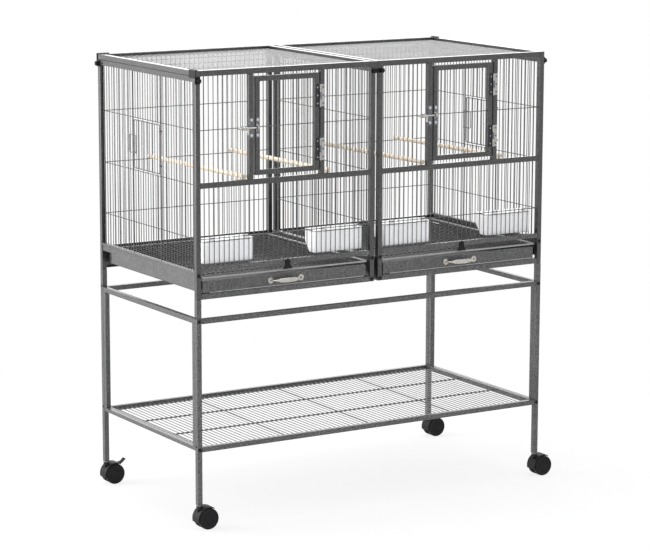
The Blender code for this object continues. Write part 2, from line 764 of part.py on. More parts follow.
def base_frame(name, x0):
    """A folded sheet ring round the tray, with a sill at the front and two runners a side."""
    wide = (x0 + SHEET, x0 + CAGE_WIDTH - SHEET)
    narrow = (x0 + TUBE + SEAT, x0 + CAGE_WIDTH - TUBE - SEAT)
    deep = (FRONT + SEAT, BACK - SEAT)
    shallow = (FRONT + TUBE + SEAT, BACK - TUBE - SEAT)

    def cross(inset):
        """The plus-shaped outline that passes inside the four posts."""
        x = (wide[0] + inset, narrow[0] + inset, narrow[1] - inset, wide[1] - inset)
        y = (deep[0] + inset, shallow[0] + inset, shallow[1] - inset, deep[1] - inset)
        steps = ((1, 0), (2, 0), (2, 1), (3, 1), (3, 2), (2, 2), (2, 3), (1, 3), (1, 2), (0, 2), (0, 1), (1, 1))
        return [(x[i], y[j]) for i, j in steps]

    def draw_body(bm):
        prism(bm, cross(0), FACING_UP, (BASE_Z, BASE_Z + APRON))

    base = piece(f"base_frame_{name}", draw_body, COAT)

    def draw_hollow(bm):
        prism(bm, cross(SHEET), FACING_UP, (BASE_Z - SHEET, BASE_Z + APRON + SHEET))

    combine(base, draw_hollow, "hollow", "DIFFERENCE")
    over = RAIL

    def draw_front_opening(bm):
        low = (narrow[0] - 2 * TUBE, deep[0] - over, SILL_Z)
        block(bm, low, (narrow[1] + 2 * TUBE, shallow[0] + 2 * SHEET, BASE_Z + APRON + over))

    combine(base, draw_front_opening, "front_opening", "DIFFERENCE")

    def draw_sill(bm):
        low = (narrow[0] + SHEET / 2, deep[0] + SHEET / 2, BASE_Z + SEAT)
        block(bm, low, (narrow[1] - SHEET / 2, shallow[0] + SHEET / 2, SILL_Z - SEAT))

    combine(base, draw_sill, "sill")
    wall = SHEET / 2
    runner_y = (shallow[0] + wall, shallow[1] - wall)
    for label, top in (("tray_runner", TRAY_Z - SEAT), ("grate_runner", GRATE_Z - SEAT)):
        reach = RUNNER if label == "grate_runner" else RUNNER + TRAY_RIGHT_GAP
        for side_name, near, far in (
            ("left", wide[0] + wall, x0 + reach),
            ("right", x0 + CAGE_WIDTH - reach, wide[1] - wall),
        ):

            def draw_runner(bm, near=near, far=far, top=top, start=runner_y[0]):
                block(bm, (near, start, top - SHEET), (far, runner_y[1], top))

            combine(base, draw_runner, f"{label}_{side_name}")
    return base


def tray(name, x0):
    """A folded pan with a hemmed rim, and a bow handle on its front."""
    across = (x0 + TUBE + TRAY_LEFT_GAP, x0 + CAGE_WIDTH - TUBE - TRAY_RIGHT_GAP)
    along = (FRONT + TRAY_SETBACK, BACK - TRAY_BACK_GAP)
    middle = (sum(across) / 2, along[0], TRAY_Z + TRAY_HEIGHT / 2)

    def rectangle(inset, z):
        return [
            (across[0] + inset, along[0] + inset, z),
            (across[1] - inset, along[0] + inset, z),
            (across[1] - inset, along[1] - inset, z),
            (across[0] + inset, along[1] - inset, z),
        ]

    def draw(bm):
        rings = (
            rectangle(0, TRAY_Z),
            rectangle(0, TRAY_TOP_Z),
            rectangle(TRAY_HEM, TRAY_TOP_Z),
            rectangle(TRAY_HEM, TRAY_TOP_Z - SHEET),
            rectangle(SHEET, TRAY_TOP_Z - SHEET),
            rectangle(SHEET, TRAY_Z + SHEET),
        )
        loft(bm, rings)

    pan = piece(f"tray_{name}", draw, COAT, middle)
    tray_handle(name, middle, pan)


def tray_handle(name, middle, pan):
    """A flattened bow between two rosettes."""
    face = middle[1] - SEAT
    steps = 8

    def draw_bow(bm):
        rings = []
        for step in range(steps + 1):
            t = 2 * step / steps - 1
            swell = math.cos(t * math.pi / 2)
            x = middle[0] + t * HANDLE_SPAN / 2
            y = face - HANDLE_HALF_THICKNESS - (HANDLE_REACH - 2 * HANDLE_HALF_THICKNESS) * swell**0.5
            half = HANDLE_END_HEIGHT + (HANDLE_HALF_HEIGHT - HANDLE_END_HEIGHT) * swell
            lean = math.atan2(t, 1 - 0.5 * abs(t))
            row = []
            for i in range(6):
                angle = 2 * math.pi * i / 6
                out = HANDLE_HALF_THICKNESS * math.cos(angle)
                row.append((x + out * math.sin(lean), y - out * math.cos(lean), middle[2] + half * math.sin(angle)))
            rings.append(row)
        loft(bm, rings)

    handle = piece(f"tray_handle_{name}", draw_bow, NICKEL, middle, pan, smooth=True)

    def draw_rosettes(bm):
        for side in (-1, 1):
            x = middle[0] + side * HANDLE_SPAN / 2
            start = (x, face, middle[2])
            profile = ((0, ROSETTE_RADIUS), (ROSETTE_THICKNESS / 2, ROSETTE_RADIUS), (ROSETTE_THICKNESS, ROSETTE_RADIUS / 2))
            turned(bm, profile, start, (0, -1, 0), 10)

    combine(handle, draw_rosettes, "rosettes")


def grate(name, x0):
    """A pull-out wire floor in a frame of rod."""
    across = (x0 + TUBE + GRATE_SIDE_GAP, x0 + CAGE_WIDTH - TUBE - GRATE_SIDE_GAP)
    along = (FRONT + GRATE_SETBACK, BACK - TRAY_BACK_GAP)
    up = (GRATE_Z, GRATE_Z + GRATE_ROD)

    def draw_frame(bm):
        ring(bm, FACING_UP, across, along, up, GRATE_ROD, GRATE_ROD)

    floor = piece(f"grate_{name}", draw_frame, COAT, (sum(across) / 2, FRONT, GRATE_Z))
    top_wire = up[1] - WIRE / 2 - SEAT / 2
    low_wire = top_wire - WIRE - SEAT
    places = spread(across[0] + GRATE_ROD, across[1] - GRATE_ROD)
    ends = (along[0] + GRATE_ROD / 2, along[1] - GRATE_ROD / 2)
    combine(floor, wires(FACING_UP, places, ends, top_wire, WIRE), "wires")
    crossing = spread(along[0], along[1], (along[1] - along[0]) / (GRATE_CROSS_WIRES + 1))
    row_ends = (across[0] + GRATE_ROD / 2, across[1] - GRATE_ROD / 2)
    combine(floor, rows(FACING_UP, row_ends, crossing, low_wire, WIRE), "rows")


def stop_catch(name, x0):
    """A fan-shaped turn catch screwed to the front rail."""
    pivot = (x0 + CAGE_WIDTH / 2, FRONT, BASE_Z + FRONT_RAIL_HEIGHT + FRONT_RAIL / 2)
    face = FRONT - SEAT

    def draw(bm):
        outline = arc((pivot[0], pivot[2]), CATCH_HALF_TOP, 0, 180, 6)
        outline.append((pivot[0] - CATCH_HALF_FOOT, pivot[2] - CATCH_LENGTH))
        outline.append((pivot[0] + CATCH_HALF_FOOT, pivot[2] - CATCH_LENGTH))
        prism(bm, outline, FACING_FRONT, (face - CATCH_THICKNESS, face))

    piece(f"stop_catch_{name}", draw, BLACK, pivot)


def door(name, x0):
    """The front door with its hinge leaves and the keeper of its slide bolt."""
    left = x0 + JAMB_OFFSET + TUBE + DOOR_LATCH_GAP
    across = (left, left + DOOR_WIDTH)
    up = (BASE_Z + MID_RAIL_HEIGHT + RAIL + DOOR_BOTTOM_GAP, TOP_Z - RAIL - DOOR_TOP_GAP)
    pin = (across[1] + DOOR_HINGE_GAP / 2, FRONT - SEAT - KNUCKLE_RADIUS)

    def draw_frame(bm):
        ring(bm, FACING_FRONT, across, up, (FRONT, FRONT + TUBE), TUBE, TUBE)

    leaf = piece(f"front_door_{name}", draw_frame, COAT, (pin[0], pin[1], up[0]))
    through = FRONT + WIRE_INSET
    inner = (across[0] + TUBE, across[1] - TUBE)
    ends = (up[0] + TUBE / 2, up[1] - TUBE / 2)
    combine(leaf, wires(FACING_FRONT, spread(*inner), ends, through, WIRE), "wires")
    row_ends = (inner[0] - TUBE / 2, inner[1] + TUBE / 2)
    combine(leaf, rows(FACING_FRONT, row_ends, (ROWS[0],), through + WIRE + SEAT, WIRE), "row")
    third = HINGE_LENGTH / 3
    for place, height in (("upper", up[1] - HINGE_TOP_INSET), ("lower", up[0] + HINGE_FOOT_INSET)):
        span = (height - third / 2 + KNUCKLE_GAP, height + third / 2 - KNUCKLE_GAP)

        def draw_plate(bm, height=height):
            low = (across[1] - HINGE_LEAF, FRONT - LEAF_THICKNESS, height - HINGE_LENGTH / 2)
            block(bm, low, (pin[0] - KNUCKLE_RADIUS - SEAT, FRONT + SEAT, height + HINGE_LENGTH / 2))

        def draw_tongue(bm, span=span):
            low = (pin[0] - KNUCKLE_RADIUS - 3 * SEAT, FRONT - LEAF_THICKNESS, span[0])
            block(bm, low, (pin[0], FRONT - 2 * SEAT, span[1]))

        def draw_knuckle(bm, span=span):
            rod(bm, (*pin, span[0]), (*pin, span[1]), KNUCKLE_RADIUS, 8)

        def draw_hole(bm, span=span):
            ends = (span[0] - KNUCKLE_GAP / 2, span[1] + KNUCKLE_GAP / 2)
            rod(bm, (*pin, ends[0]), (*pin, ends[1]), PIN_RADIUS + PIN_CLEARANCE, 8)

        combine(leaf, draw_plate, f"{place}_leaf")
        combine(leaf, draw_tongue, f"{place}_tongue")
        combine(leaf, draw_knuckle, f"{place}_knuckle")
        combine(leaf, draw_hole, f"{place}_hole", "DIFFERENCE")
        hinge(f"door_hinge_{place}_{name}", pin, height, across[1] + DOOR_HINGE_GAP)
    keeper(leaf, across[0])
    slide_bolt(name, x0)


def hinge(name, pin, height, jamb):
    """The leaf on the jamb, with its two knuckles and the pin."""
    half = HINGE_LENGTH / 2
    third = HINGE_LENGTH / 3
    leaf_edge = pin[0] + KNUCKLE_RADIUS + SEAT

    def draw_pin(bm):
        profile = (
            (-half, KNUCKLE_RADIUS),
            (-third / 2 - KNUCKLE_GAP, KNUCKLE_RADIUS),
            (-third / 2 - KNUCKLE_GAP, PIN_RADIUS),
            (third / 2 + KNUCKLE_GAP, PIN_RADIUS),
            (third / 2 + KNUCKLE_GAP, KNUCKLE_RADIUS),
            (half, KNUCKLE_RADIUS),
        )
        turned(bm, profile, (*pin, height), (0, 0, 1), 8)

    made = piece(name, draw_pin, NICKEL, (*pin, height))

    def draw_leaf(bm):
        low = (leaf_edge, FRONT - SEAT - LEAF_THICKNESS, height - half + SEAT)
        block(bm, low, (jamb + HINGE_LEAF, FRONT - SEAT, height + half - SEAT))

    def draw_tongues(bm):
        for side in (-1, 1):
            ends = sorted((height + side * (half - 2 * SEAT), height + side * (third / 2 + 2 * KNUCKLE_GAP)))
            low = (pin[0], FRONT - LEAF_THICKNESS, ends[0])
            block(bm, low, (leaf_edge + 2 * SEAT, FRONT - 1.5 * SEAT, ends[1]))

    combine(made, draw_leaf, "leaf")
    combine(made, draw_tongues, "tongues")


def bolt_line():
    """The Y of the slide bolt's centre line."""
    return FRONT - LEAF_THICKNESS - 2 * SEAT - BOLT_RADIUS - KEEPER_CLEARANCE


def keeper(leaf, stile):
    """A plate and a loop on the door's stile, which the bolt enters."""
    start = stile + SEAT
    y = bolt_line()
    height = ROWS[0]

    def draw_plate(bm):
        low = (start, FRONT - SEAT - LEAF_THICKNESS, height - PLATE_HEIGHT / 2)
        block(bm, low, (start + PLATE_WIDTH - 2 * SEAT, FRONT + SEAT, height + PLATE_HEIGHT / 2))

    def draw_loop(bm):
        outer = BOLT_RADIUS + KEEPER_CLEARANCE + BARREL_WALL
        rod(bm, (start, y, height), (start + KEEPER_LENGTH, y, height), outer)

    def draw_hole(bm):
        reach = DOOR_LATCH_GAP
        ends = (start - reach, start + KEEPER_LENGTH + reach)
        rod(bm, (ends[0], y, height), (ends[1], y, height), BOLT_RADIUS + KEEPER_CLEARANCE)

    combine(leaf, draw_plate, "keeper_plate")
    combine(leaf, draw_loop, "keeper_loop")
    combine(leaf, draw_hole, "keeper_hole", "DIFFERENCE")


def slide_bolt(name, x0):
    """The barrel on the jamb and the bolt in it, drawn back so that the door is free."""
    y = bolt_line()
    height = ROWS[0]
    jamb = x0 + JAMB_OFFSET
    jamb_end = jamb + TUBE - SEAT
    barrel_start = jamb - BARREL_OVERHANG
    barrel_end = barrel_start + BARREL_LENGTH
    plate_y = (FRONT - SEAT - LEAF_THICKNESS, FRONT - SEAT)

    def draw_plate(bm):
        low = (jamb_end - PLATE_WIDTH, plate_y[0], height - PLATE_HEIGHT / 2)
        block(bm, low, (jamb_end, plate_y[1], height + PLATE_HEIGHT / 2))

    def draw_strap(bm):
        low = (barrel_start, y + BOLT_RADIUS + BOLT_CLEARANCE + SEAT, height - STRAP_HEIGHT / 2)
        block(bm, low, (jamb + TUBE / 2, plate_y[1] - SEAT / 3, height + STRAP_HEIGHT / 2))

    def draw_barrel(bm):
        outer = BOLT_RADIUS + BOLT_CLEARANCE + BARREL_WALL
        rod(bm, (barrel_start + SEAT, y, height), (barrel_end, y, height), outer)

    def draw_bore(bm):
        radius = BOLT_RADIUS + BOLT_CLEARANCE
        rod(bm, (barrel_start - TUBE, y, height), (jamb_end + TUBE, y, height), radius)

    barrel = piece(f"latch_barrel_{name}", draw_plate, NICKEL)
    combine(barrel, draw_strap, "strap")
    combine(barrel, draw_barrel, "barrel")
    combine(barrel, draw_bore, "bore", "DIFFERENCE")
    tip = jamb_end + DOOR_LATCH_GAP
    tail = tip - BOLT_LENGTH
    tab_start = barrel_end + 2 * SEAT

    def draw_bolt(bm):
        rod(bm, (tail, y, height), (tip, y, height), BOLT_RADIUS)

    def draw_tab(bm):
        half = BOLT_RADIUS * 0.6
        low = (tab_start, y - half, height - BOLT_TAB_LENGTH)
        block(bm, low, (tab_start + BOLT_TAB_WIDTH, y + half, height))

    bolt = piece(f"latch_bolt_{name}", draw_bolt, NICKEL, (tail, y, height), smooth=True)
    combine(bolt, draw_tab, "tab")


def feeder(name, x):
    """A seed cup with a slanting back, hooked over a wire of the front panel."""
    row_back = FRONT + WIRE_INSET + WIRE + SEAT + WIRE / 2
    near = row_back + SEAT
    rim = ROWS[2] - WIRE / 2 - 2 * FEEDER_WALL
    foot = rim - FEEDER_HEIGHT
    centre_y = near + FEEDER_DEPTH / 2

    def section(z, inset, lean):
        outline = rounded(FEEDER_WIDTH - 2 * inset, FEEDER_DEPTH - 2 * inset - lean, FEEDER_CORNER - inset)
        return [(x + a, centre_y - lean / 2 + b, z) for a, b in outline]

    knee = foot + FEEDER_HEIGHT * 0.45
    inner_foot = foot + FEEDER_WALL

    def draw_cup(bm):
        rings = (
            section(foot, 0, FEEDER_TAPER),
            section(knee, 0, 0),
            section(rim, 0, 0),
            section(rim, FEEDER_WALL, 0),
            section(knee, FEEDER_WALL, 0),
            section(inner_foot, FEEDER_WALL, FEEDER_TAPER),
        )
        loft(bm, rings)

    cup = piece(f"feeder_{name}", draw_cup, WHITE, (x, centre_y, foot), smooth=True)
    hook_top = ROWS[2] + WIRE / 2 + SEAT + FEEDER_WALL

    def draw_hooks(bm):
        for side in (-1, 1):
            middle = x + side * FEEDER_WIDTH / 3
            low = (middle - FEEDER_HOOK / 2, near + SEAT, rim - FEEDER_WALL)
            block(bm, low, (middle + FEEDER_HOOK / 2, near + FEEDER_WALL * 0.8, hook_top))

    def draw_lips(bm):
        for side in (-1, 1):
            middle = x + side * FEEDER_WIDTH / 3
            low = (middle - FEEDER_HOOK / 2 + SEAT, row_back - WIRE / 2, hook_top - FEEDER_WALL)
            block(bm, low, (middle + FEEDER_HOOK / 2 - SEAT, near + FEEDER_WALL * 0.5, hook_top - SEAT))

    combine(cup, draw_hooks, "hooks")
    combine(cup, draw_lips, "lips")


def perch(name, x):
    """A dowel from the front's middle rail to the second row of wire at the back."""
    front_y = FRONT + WIRE_INSET + WIRE / 2 + SEAT
    back_y = BACK - WIRE_INSET - WIRE / 2 - SEAT
    front_z = BASE_Z + MID_RAIL_HEIGHT + RAIL + SEAT + PERCH_RADIUS
    back_z = ROWS[1] + WIRE / 2 + SEAT + PERCH_RADIUS

    def draw(bm):
        rod(bm, (x, front_y, front_z), (x, back_y, back_z), PERCH_RADIUS)

    piece(f"perch_{name}", draw, WOOD, (x, 0, (front_z + back_z) / 2), smooth=True)


def joining_clip(name, face_y, outward_y):
    """A bridge and two thumb screws that tie the two cages together at the top."""
    near = face_y + outward_y * SEAT
    far = near + outward_y * CLIP_WALL
    half = CAGE_SPACING / 2 + TUBE

    def draw_bridge(bm):
        ys = sorted((near, far))
        block(bm, (-half, ys[0], TOP_Z - CLIP_DROP), (half, ys[1], TOP_Z - CLIP_DROP / 2))

    def draw_knobs(bm):
        for side in (-1, 1):
            x = side * (CAGE_SPACING / 2 + TUBE / 2)
            height = TOP_Z - CLIP_DROP + 1.4 * KNOB_RADIUS
            start = (x, near + outward_y * CLIP_WALL / 2, height)
            rod(bm, start, (x, far + outward_y * KNOB_LENGTH, height), KNOB_RADIUS, 8)

    clip = piece(f"joining_clip_{name}", draw_bridge, BLACK, (0, near, TOP_Z - CLIP_DROP))
    combine(clip, draw_knobs, "knobs")


def cages():
    """Both cages and the divider between them."""
    nest_opening = [BACK - NEST_BACK_OFFSET - NEST_WIDTH, BACK - NEST_BACK_OFFSET]
    for name, x0 in CAGES.items():
        base_frame(name, x0)
        front_panel(name, x0)
        back_panel(name, x0)
        top_panel(name, x0)
        outer_x, inward = (LEFT + SEAT, 1) if name == "left" else (RIGHT - SEAT, -1)
        side_grille(f"outer_side_panel_{name}", outer_x, inward, TUBE - SEAT, nest_opening)
        nest_door(name, outer_x, inward, nest_opening)
        door(name, x0)
        tray(name, x0)
        grate(name, x0)
        stop_catch(name, x0)
        for place, offset in zip(("a", "b"), FEEDER_OFFSETS):
            feeder(f"{name}_{place}", x0 + offset)
        for place, offset in zip(("a", "b"), PERCH_OFFSETS):
            perch(f"{name}_{place}", x0 + offset)
    divider_width = CAGE_SPACING + 4 * SHEET
    side_grille("centre_divider", -divider_width / 2, 1, divider_width, None)
    joining_clip("front", FRONT, -1)
    joining_clip("back", BACK, 1)


def centre_on_floor():
    """Moves the whole model so that its bounding box is centred over the origin."""
    bpy.context.view_layer.update()
    graph = bpy.context.evaluated_depsgraph_get()
    corners = []
    for made in bpy.data.objects:
        if not made.hide_render:
            shape = made.evaluated_get(graph)
            corners += [shape.matrix_world @ Vector(corner) for corner in shape.bound_box]
    shift = Vector((0, 0, 0))
    for axis in (0, 1):
        places = [corner[axis] for corner in corners]
        shift[axis] = -(min(places) + max(places)) / 2
    for made in bpy.data.objects:
        if not made.parent:
            made.location += shift


stand()
casters()
cages()
centre_on_floor()
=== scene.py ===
"""Dresses the double bird cage for its render. Metres, X right, Y back, Z up."""

import json
from math import asin, atan2, cos, degrees, pi, radians, sin, sqrt

import bmesh
import bpy
from mathutils import Matrix, Vector

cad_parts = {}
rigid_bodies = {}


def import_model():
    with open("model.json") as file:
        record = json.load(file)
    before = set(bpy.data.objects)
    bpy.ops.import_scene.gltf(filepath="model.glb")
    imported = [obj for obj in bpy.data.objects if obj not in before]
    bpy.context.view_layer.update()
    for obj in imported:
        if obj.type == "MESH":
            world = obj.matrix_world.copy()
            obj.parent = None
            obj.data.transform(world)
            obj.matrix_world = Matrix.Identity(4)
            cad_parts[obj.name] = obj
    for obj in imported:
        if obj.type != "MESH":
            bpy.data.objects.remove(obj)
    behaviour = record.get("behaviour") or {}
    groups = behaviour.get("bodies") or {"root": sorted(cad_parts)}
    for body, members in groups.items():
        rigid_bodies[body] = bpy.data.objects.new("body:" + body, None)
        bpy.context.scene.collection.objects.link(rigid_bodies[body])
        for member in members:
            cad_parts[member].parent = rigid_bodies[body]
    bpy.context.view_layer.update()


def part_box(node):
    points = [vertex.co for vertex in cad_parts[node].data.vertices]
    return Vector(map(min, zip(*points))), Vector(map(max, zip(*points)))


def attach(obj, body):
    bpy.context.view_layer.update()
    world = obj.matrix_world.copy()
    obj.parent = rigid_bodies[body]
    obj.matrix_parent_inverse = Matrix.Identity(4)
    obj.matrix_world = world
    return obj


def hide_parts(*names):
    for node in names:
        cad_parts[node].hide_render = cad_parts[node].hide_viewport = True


for old in list(bpy.data.objects):
    bpy.data.objects.remove(old)
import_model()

# Sizes, as in the part's source
WIDTH, DEPTH = 0.96, 0.485
LEFT, RIGHT, FRONT, BACK = -WIDTH / 2, WIDTH / 2, -DEPTH / 2, DEPTH / 2
TUBE, SEAT, RAIL = 0.012, 0.0003, 0.013
INNER_X = (LEFT + TUBE + SEAT, RIGHT - TUBE - SEAT)
INNER_Y = (FRONT + TUBE + SEAT, BACK - TUBE - SEAT)
FOOT_Z, BASE_Z, TOP_Z = 0.058, 0.536, 1.055
SHELF_Z, UPPER_Z = FOOT_Z + 0.1355, BASE_Z - 0.044
WIRE, PITCH, EDGE_WIRE, INSET = 0.002, 0.0129, 0.0035, 0.0085
ROWS = (TOP_Z - 0.1353, TOP_Z - 0.2595, TOP_Z - 0.3827)
APRON, SHEET, SILL = 0.051, 0.0016, 0.0136
SIDE_FOOT, SIDE_TOP, NOTCH = BASE_Z + 0.0198, BASE_Z + 0.058, 0.045
FRONT_RAIL_Z, FRONT_RAIL, MID_Z = BASE_Z + 0.0636, 0.0111, BASE_Z + 0.2534
BAY_GAP = 0.01
BAY = (WIDTH - BAY_GAP) / 2
BAYS = {"left": LEFT, "right": RIGHT - BAY}
JAMB, DOOR_WIDTH, LATCH_GAP, HINGE_GAP = 0.137, 0.169, 0.005, 0.003
NEST_OPENING = [BACK - 0.163 - 0.138, BACK - 0.163]
TRAY_Z = BASE_Z + SILL + SEAT
TRAY_TOP = TRAY_Z + 0.0285
GRATE_Z = TRAY_TOP + 0.0042
BOLT_Y = FRONT - 0.0055
WHEEL_R, TRAIL, HUB = 0.025, 0.018, 0.0045
CUP_WIDTH, CUP_DEPTH, CUP_HEIGHT = 0.132, 0.05, 0.0525
PERCH_R = 0.0053

# Finish that the render alone has
EDGE = 0.0012  # rounding of a tube's edges
LAP = 0.0002  # how far a rail runs into its post
GRIP = 0.001  # how far a wire runs into a tube
BEHIND = WIRE - LAP  # from a wire to the row that is welded on behind it
THIN = 0.0004  # rounding of thin plates
WELD_DEPTH, WELD = (FRONT + 0.001, FRONT + 0.0026), 0.0018
POST_SCREWS = 0.0555, 0.0565, 0.0065  # above the base

# The drawing is centred on the four posts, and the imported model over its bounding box
post_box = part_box("stand_post_front_left")
SHIFT = Vector((post_box[0].x - LEFT, post_box[0].y - FRONT, 0))

# Which axes run across, up and through a panel
FACE = (0, 2, 1)
SIDE = (1, 2, 0)
UP = (0, 1, 2)
FORWARD, SKYWARD = (0, -1, 0), (0, 0, 1)


# Materials
def feed(tree, made, inputs):
    """Gives each input of a node its value, or links it to another node's socket."""
    for key, value in inputs.items():
        if isinstance(value, bpy.types.NodeSocket):
            tree.links.new(value, made.inputs[key])
        else:
            made.inputs[key].default_value = value
    return made


def node(tree, kind, inputs, operation=None):
    made = tree.nodes.new(kind)
    if operation:
        made.operation = operation
    return feed(tree, made, inputs)


def material(name, metallic, roughness, gloss=0.5):
    made = bpy.data.materials.new(name)
    made.use_nodes = True
    tree = made.node_tree
    values = {"Metallic": metallic, "Roughness": roughness, "Specular IOR Level": gloss}
    return made, tree, feed(tree, tree.nodes["Principled BSDF"], values)


def coords(tree, scale=(1, 1, 1)):
    place = tree.nodes.new("ShaderNodeTexCoord").outputs["Object"]
    return node(tree, "ShaderNodeMapping", {"Vector": place, "Scale": scale}).outputs["Vector"]


def noise(tree, vector, scale, detail=3.0, rough=0.5):
    values = {"Vector": vector, "Scale": scale, "Detail": detail, "Roughness": rough}
    return node(tree, "ShaderNodeTexNoise", values).outputs["Fac"]


def ramp(tree, value, stops):
    made = node(tree, "ShaderNodeValToRGB", {"Fac": value})
    while len(made.color_ramp.elements) < len(stops):
        made.color_ramp.elements.new(0.5)
    for element, (place, colour) in zip(made.color_ramp.elements, stops):
        element.position = place
        element.color = (*colour, 1)
    return made.outputs["Color"]


def span(tree, value, low, high, start, end):
    values = {"Value": value, "From Min": start, "From Max": end, "To Min": low, "To Max": high}
    return node(tree, "ShaderNodeMapRange", values).outputs["Result"]


def bump(tree, height, strength, distance):
    values = {"Height": height, "Strength": strength, "Distance": distance}
    return node(tree, "ShaderNodeBump", values).outputs["Normal"]


def multiplied(tree, first, second, factor=1.0):
    made = tree.nodes.new("ShaderNodeMix")
    made.data_type = "RGBA"
    made.blend_type = "MULTIPLY"
    return feed(tree, made, {"Factor": factor, "A": first, "B": second}).outputs["Result"]


def grey(value):
    return (value, value, value)


def hammered(name, dark, mid, light, cell, coat=1.0):
    """Powder coat with a hammered skin: dark pits, grey body and pale silver veins."""
    made, tree, shader = material(name, 0.5, 0.42)
    vector = coords(tree)
    jitter = node(tree, "ShaderNodeTexNoise", {"Vector": vector, "Scale": 0.7 / cell}).outputs["Color"]
    warp = node(tree, "ShaderNodeVectorMath", {0: jitter, 1: (cell * 0.9,) * 3, 2: vector}, "MULTIPLY_ADD")
    cells = tree.nodes.new("ShaderNodeTexVoronoi")
    cells.feature = "SMOOTH_F1"
    feed(tree, cells, {"Vector": warp.outputs["Vector"], "Scale": 1 / cell, "Smoothness": 0.6})
    fine = noise(tree, vector, 1.6 / cell, 4.0, 0.6)
    pits = span(tree, cells.outputs["Distance"], 0.0, 0.38, 0.1, 0.8)
    mixed = node(tree, "ShaderNodeMath", {0: fine, 1: 0.62, 2: pits}, "MULTIPLY_ADD").outputs["Value"]
    tint = ramp(tree, mixed, ((0.28, grey(dark)), (0.5, grey(mid)), (0.72, grey(light))))
    shade = ramp(tree, noise(tree, vector, 14.0, 2.0), ((0.35, grey(0.86)), (0.7, grey(1.0))))
    feed(tree, shader, {
        "Coat Weight": coat,
        "Coat Roughness": 0.09,
        "Base Color": multiplied(tree, tint, shade),
        "Roughness": span(tree, mixed, 0.52, 0.3, 0.3, 0.8),
        "Normal": bump(tree, mixed, 0.5, cell * 0.12),
    })
    return made


def nickel_plate(name, colour, brush=(1, 1, 1)):
    """Bright plate with faint polishing lines and dull patches."""
    made, tree, shader = material(name, 1.0, 0.22)
    lines = noise(tree, coords(tree, brush), 900)
    patches = noise(tree, coords(tree), 160)
    low = tuple(c * 0.82 for c in colour)
    feed(tree, shader, {
        "Base Color": ramp(tree, patches, ((0.35, low), (0.65, colour))),
        "Roughness": span(tree, lines, 0.16, 0.34, 0.3, 0.7),
        "Normal": bump(tree, lines, 0.15, 0.00006),
    })
    return made


def moulded(name, low, high, roughness, grain, depth, gloss=0.5):
    """Moulded plastic with a fine grain and a little unevenness in its tone."""
    made, tree, shader = material(name, 0.0, roughness, gloss)
    fine = noise(tree, coords(tree), 1 / grain, 3.0, 0.6)
    broad = noise(tree, coords(tree), 40, 2.0)
    feed(tree, shader, {
        "Base Color": ramp(tree, broad, ((0.3, low), (0.7, high))),
        "Roughness": span(tree, fine, roughness - 0.07, roughness + 0.08, 0.3, 0.7),
        "Normal": bump(tree, fine, 0.25, depth),
    })
    return made


def turned_wood(name):
    """Pale dowel with long grain along Y, pores and a few darker streaks."""
    made, tree, shader = material(name, 0.0, 0.6)
    grain = noise(tree, coords(tree, (1, 0.035, 1)), 420, 5.0, 0.62)
    pores = noise(tree, coords(tree, (1, 0.12, 1)), 2600, 2.0)
    streak = noise(tree, coords(tree, (1, 0.01, 1)), 110, 2.0)
    tones = ((0.3, (0.62, 0.51, 0.39)), (0.5, (0.75, 0.66, 0.54)), (0.75, (0.83, 0.76, 0.66)))
    body = ramp(tree, grain, tones)
    dark = ramp(tree, streak, ((0.3, (0.86, 0.8, 0.72)), (0.6, (1, 1, 1))))
    normal = bump(tree, pores, 0.3, 0.0001)
    feed(tree, shader, {"Base Color": multiplied(tree, body, dark, 0.7), "Normal": normal})
    return made


COAT = hammered("hammered_coat_dark", 0.007, 0.022, 0.095, 0.0016)
# Lighter copy of the frame's coat for the stand, the base, the tray and the low rails: painted light from the
# floor's bounce
LOWER_LIT_COAT = hammered("hammered_coat_painted_bounce_light", 0.022, 0.07, 0.23, 0.0016, 0.3)
# Pale copy of the coat for the grate's front rod: a painted highlight along the rod's top
ROD_HIGHLIGHT_COAT = hammered("hammered_coat_painted_highlight", 0.17, 0.34, 0.54, 0.0016, 0.5)
# Pale copy of the coat for the bead at the tray's foot: a painted highlight along the tray's bottom front
# edge
HEM_HIGHLIGHT_COAT = hammered("hammered_coat_hem_painted_highlight", 0.26, 0.44, 0.62, 0.0016)
# Near-black copy of the coat for the tray's floor: painted shade inside the tray
PAN_SHADE_COAT = hammered("hammered_coat_pan_painted_shade", 0.001, 0.003, 0.01, 0.0016, 0.05)
# Lighter copy of the frame's coat for the wires: painted light, for the sheen of the bright room on the thin
# round wires
LIT_WIRE_COAT = hammered("wire_coat_painted_light", 0.025, 0.07, 0.2, 0.0009, 0.6)
# Darker copy of the wire coat for the grate: painted shade down in the tray
GRATE_SHADE_COAT = hammered("wire_coat_grate_painted_shade", 0.006, 0.024, 0.14, 0.0009, 0.35)
# Pale copy of the wire coat for the roof: a painted reflection of the bright sky on the wires' tops
ROOF_REFLECTION_COAT = hammered("wire_coat_roof_painted_reflection", 0.12, 0.26, 0.48, 0.0009)
NICKEL = nickel_plate("nickel_bright", (0.56, 0.535, 0.5), (0.1, 1, 1))
SCREW = nickel_plate("screw_plate", (0.8, 0.79, 0.77))
ZINC = nickel_plate("dull_zinc", (0.165, 0.175, 0.195), (1, 1, 0.1))
PALE_ZINC = nickel_plate("pale_zinc", (0.44, 0.435, 0.42), (1, 1, 0.1))
DARK_ZINC = nickel_plate("dark_zinc", (0.05, 0.052, 0.056))
BLACK = moulded(
    "black_plastic_grain", (0.005, 0.005, 0.006), (0.009, 0.009, 0.01), 0.5, 0.0006, 0.00005, 0.2
)
TREAD = moulded("black_tread", (0.008, 0.008, 0.009), (0.014, 0.014, 0.015), 0.6, 0.0004, 0.00008, 0.2)
WHITE = moulded("white_plastic_smooth", (0.93, 0.93, 0.925), (0.96, 0.96, 0.955), 0.32, 0.0012, 0.00003)
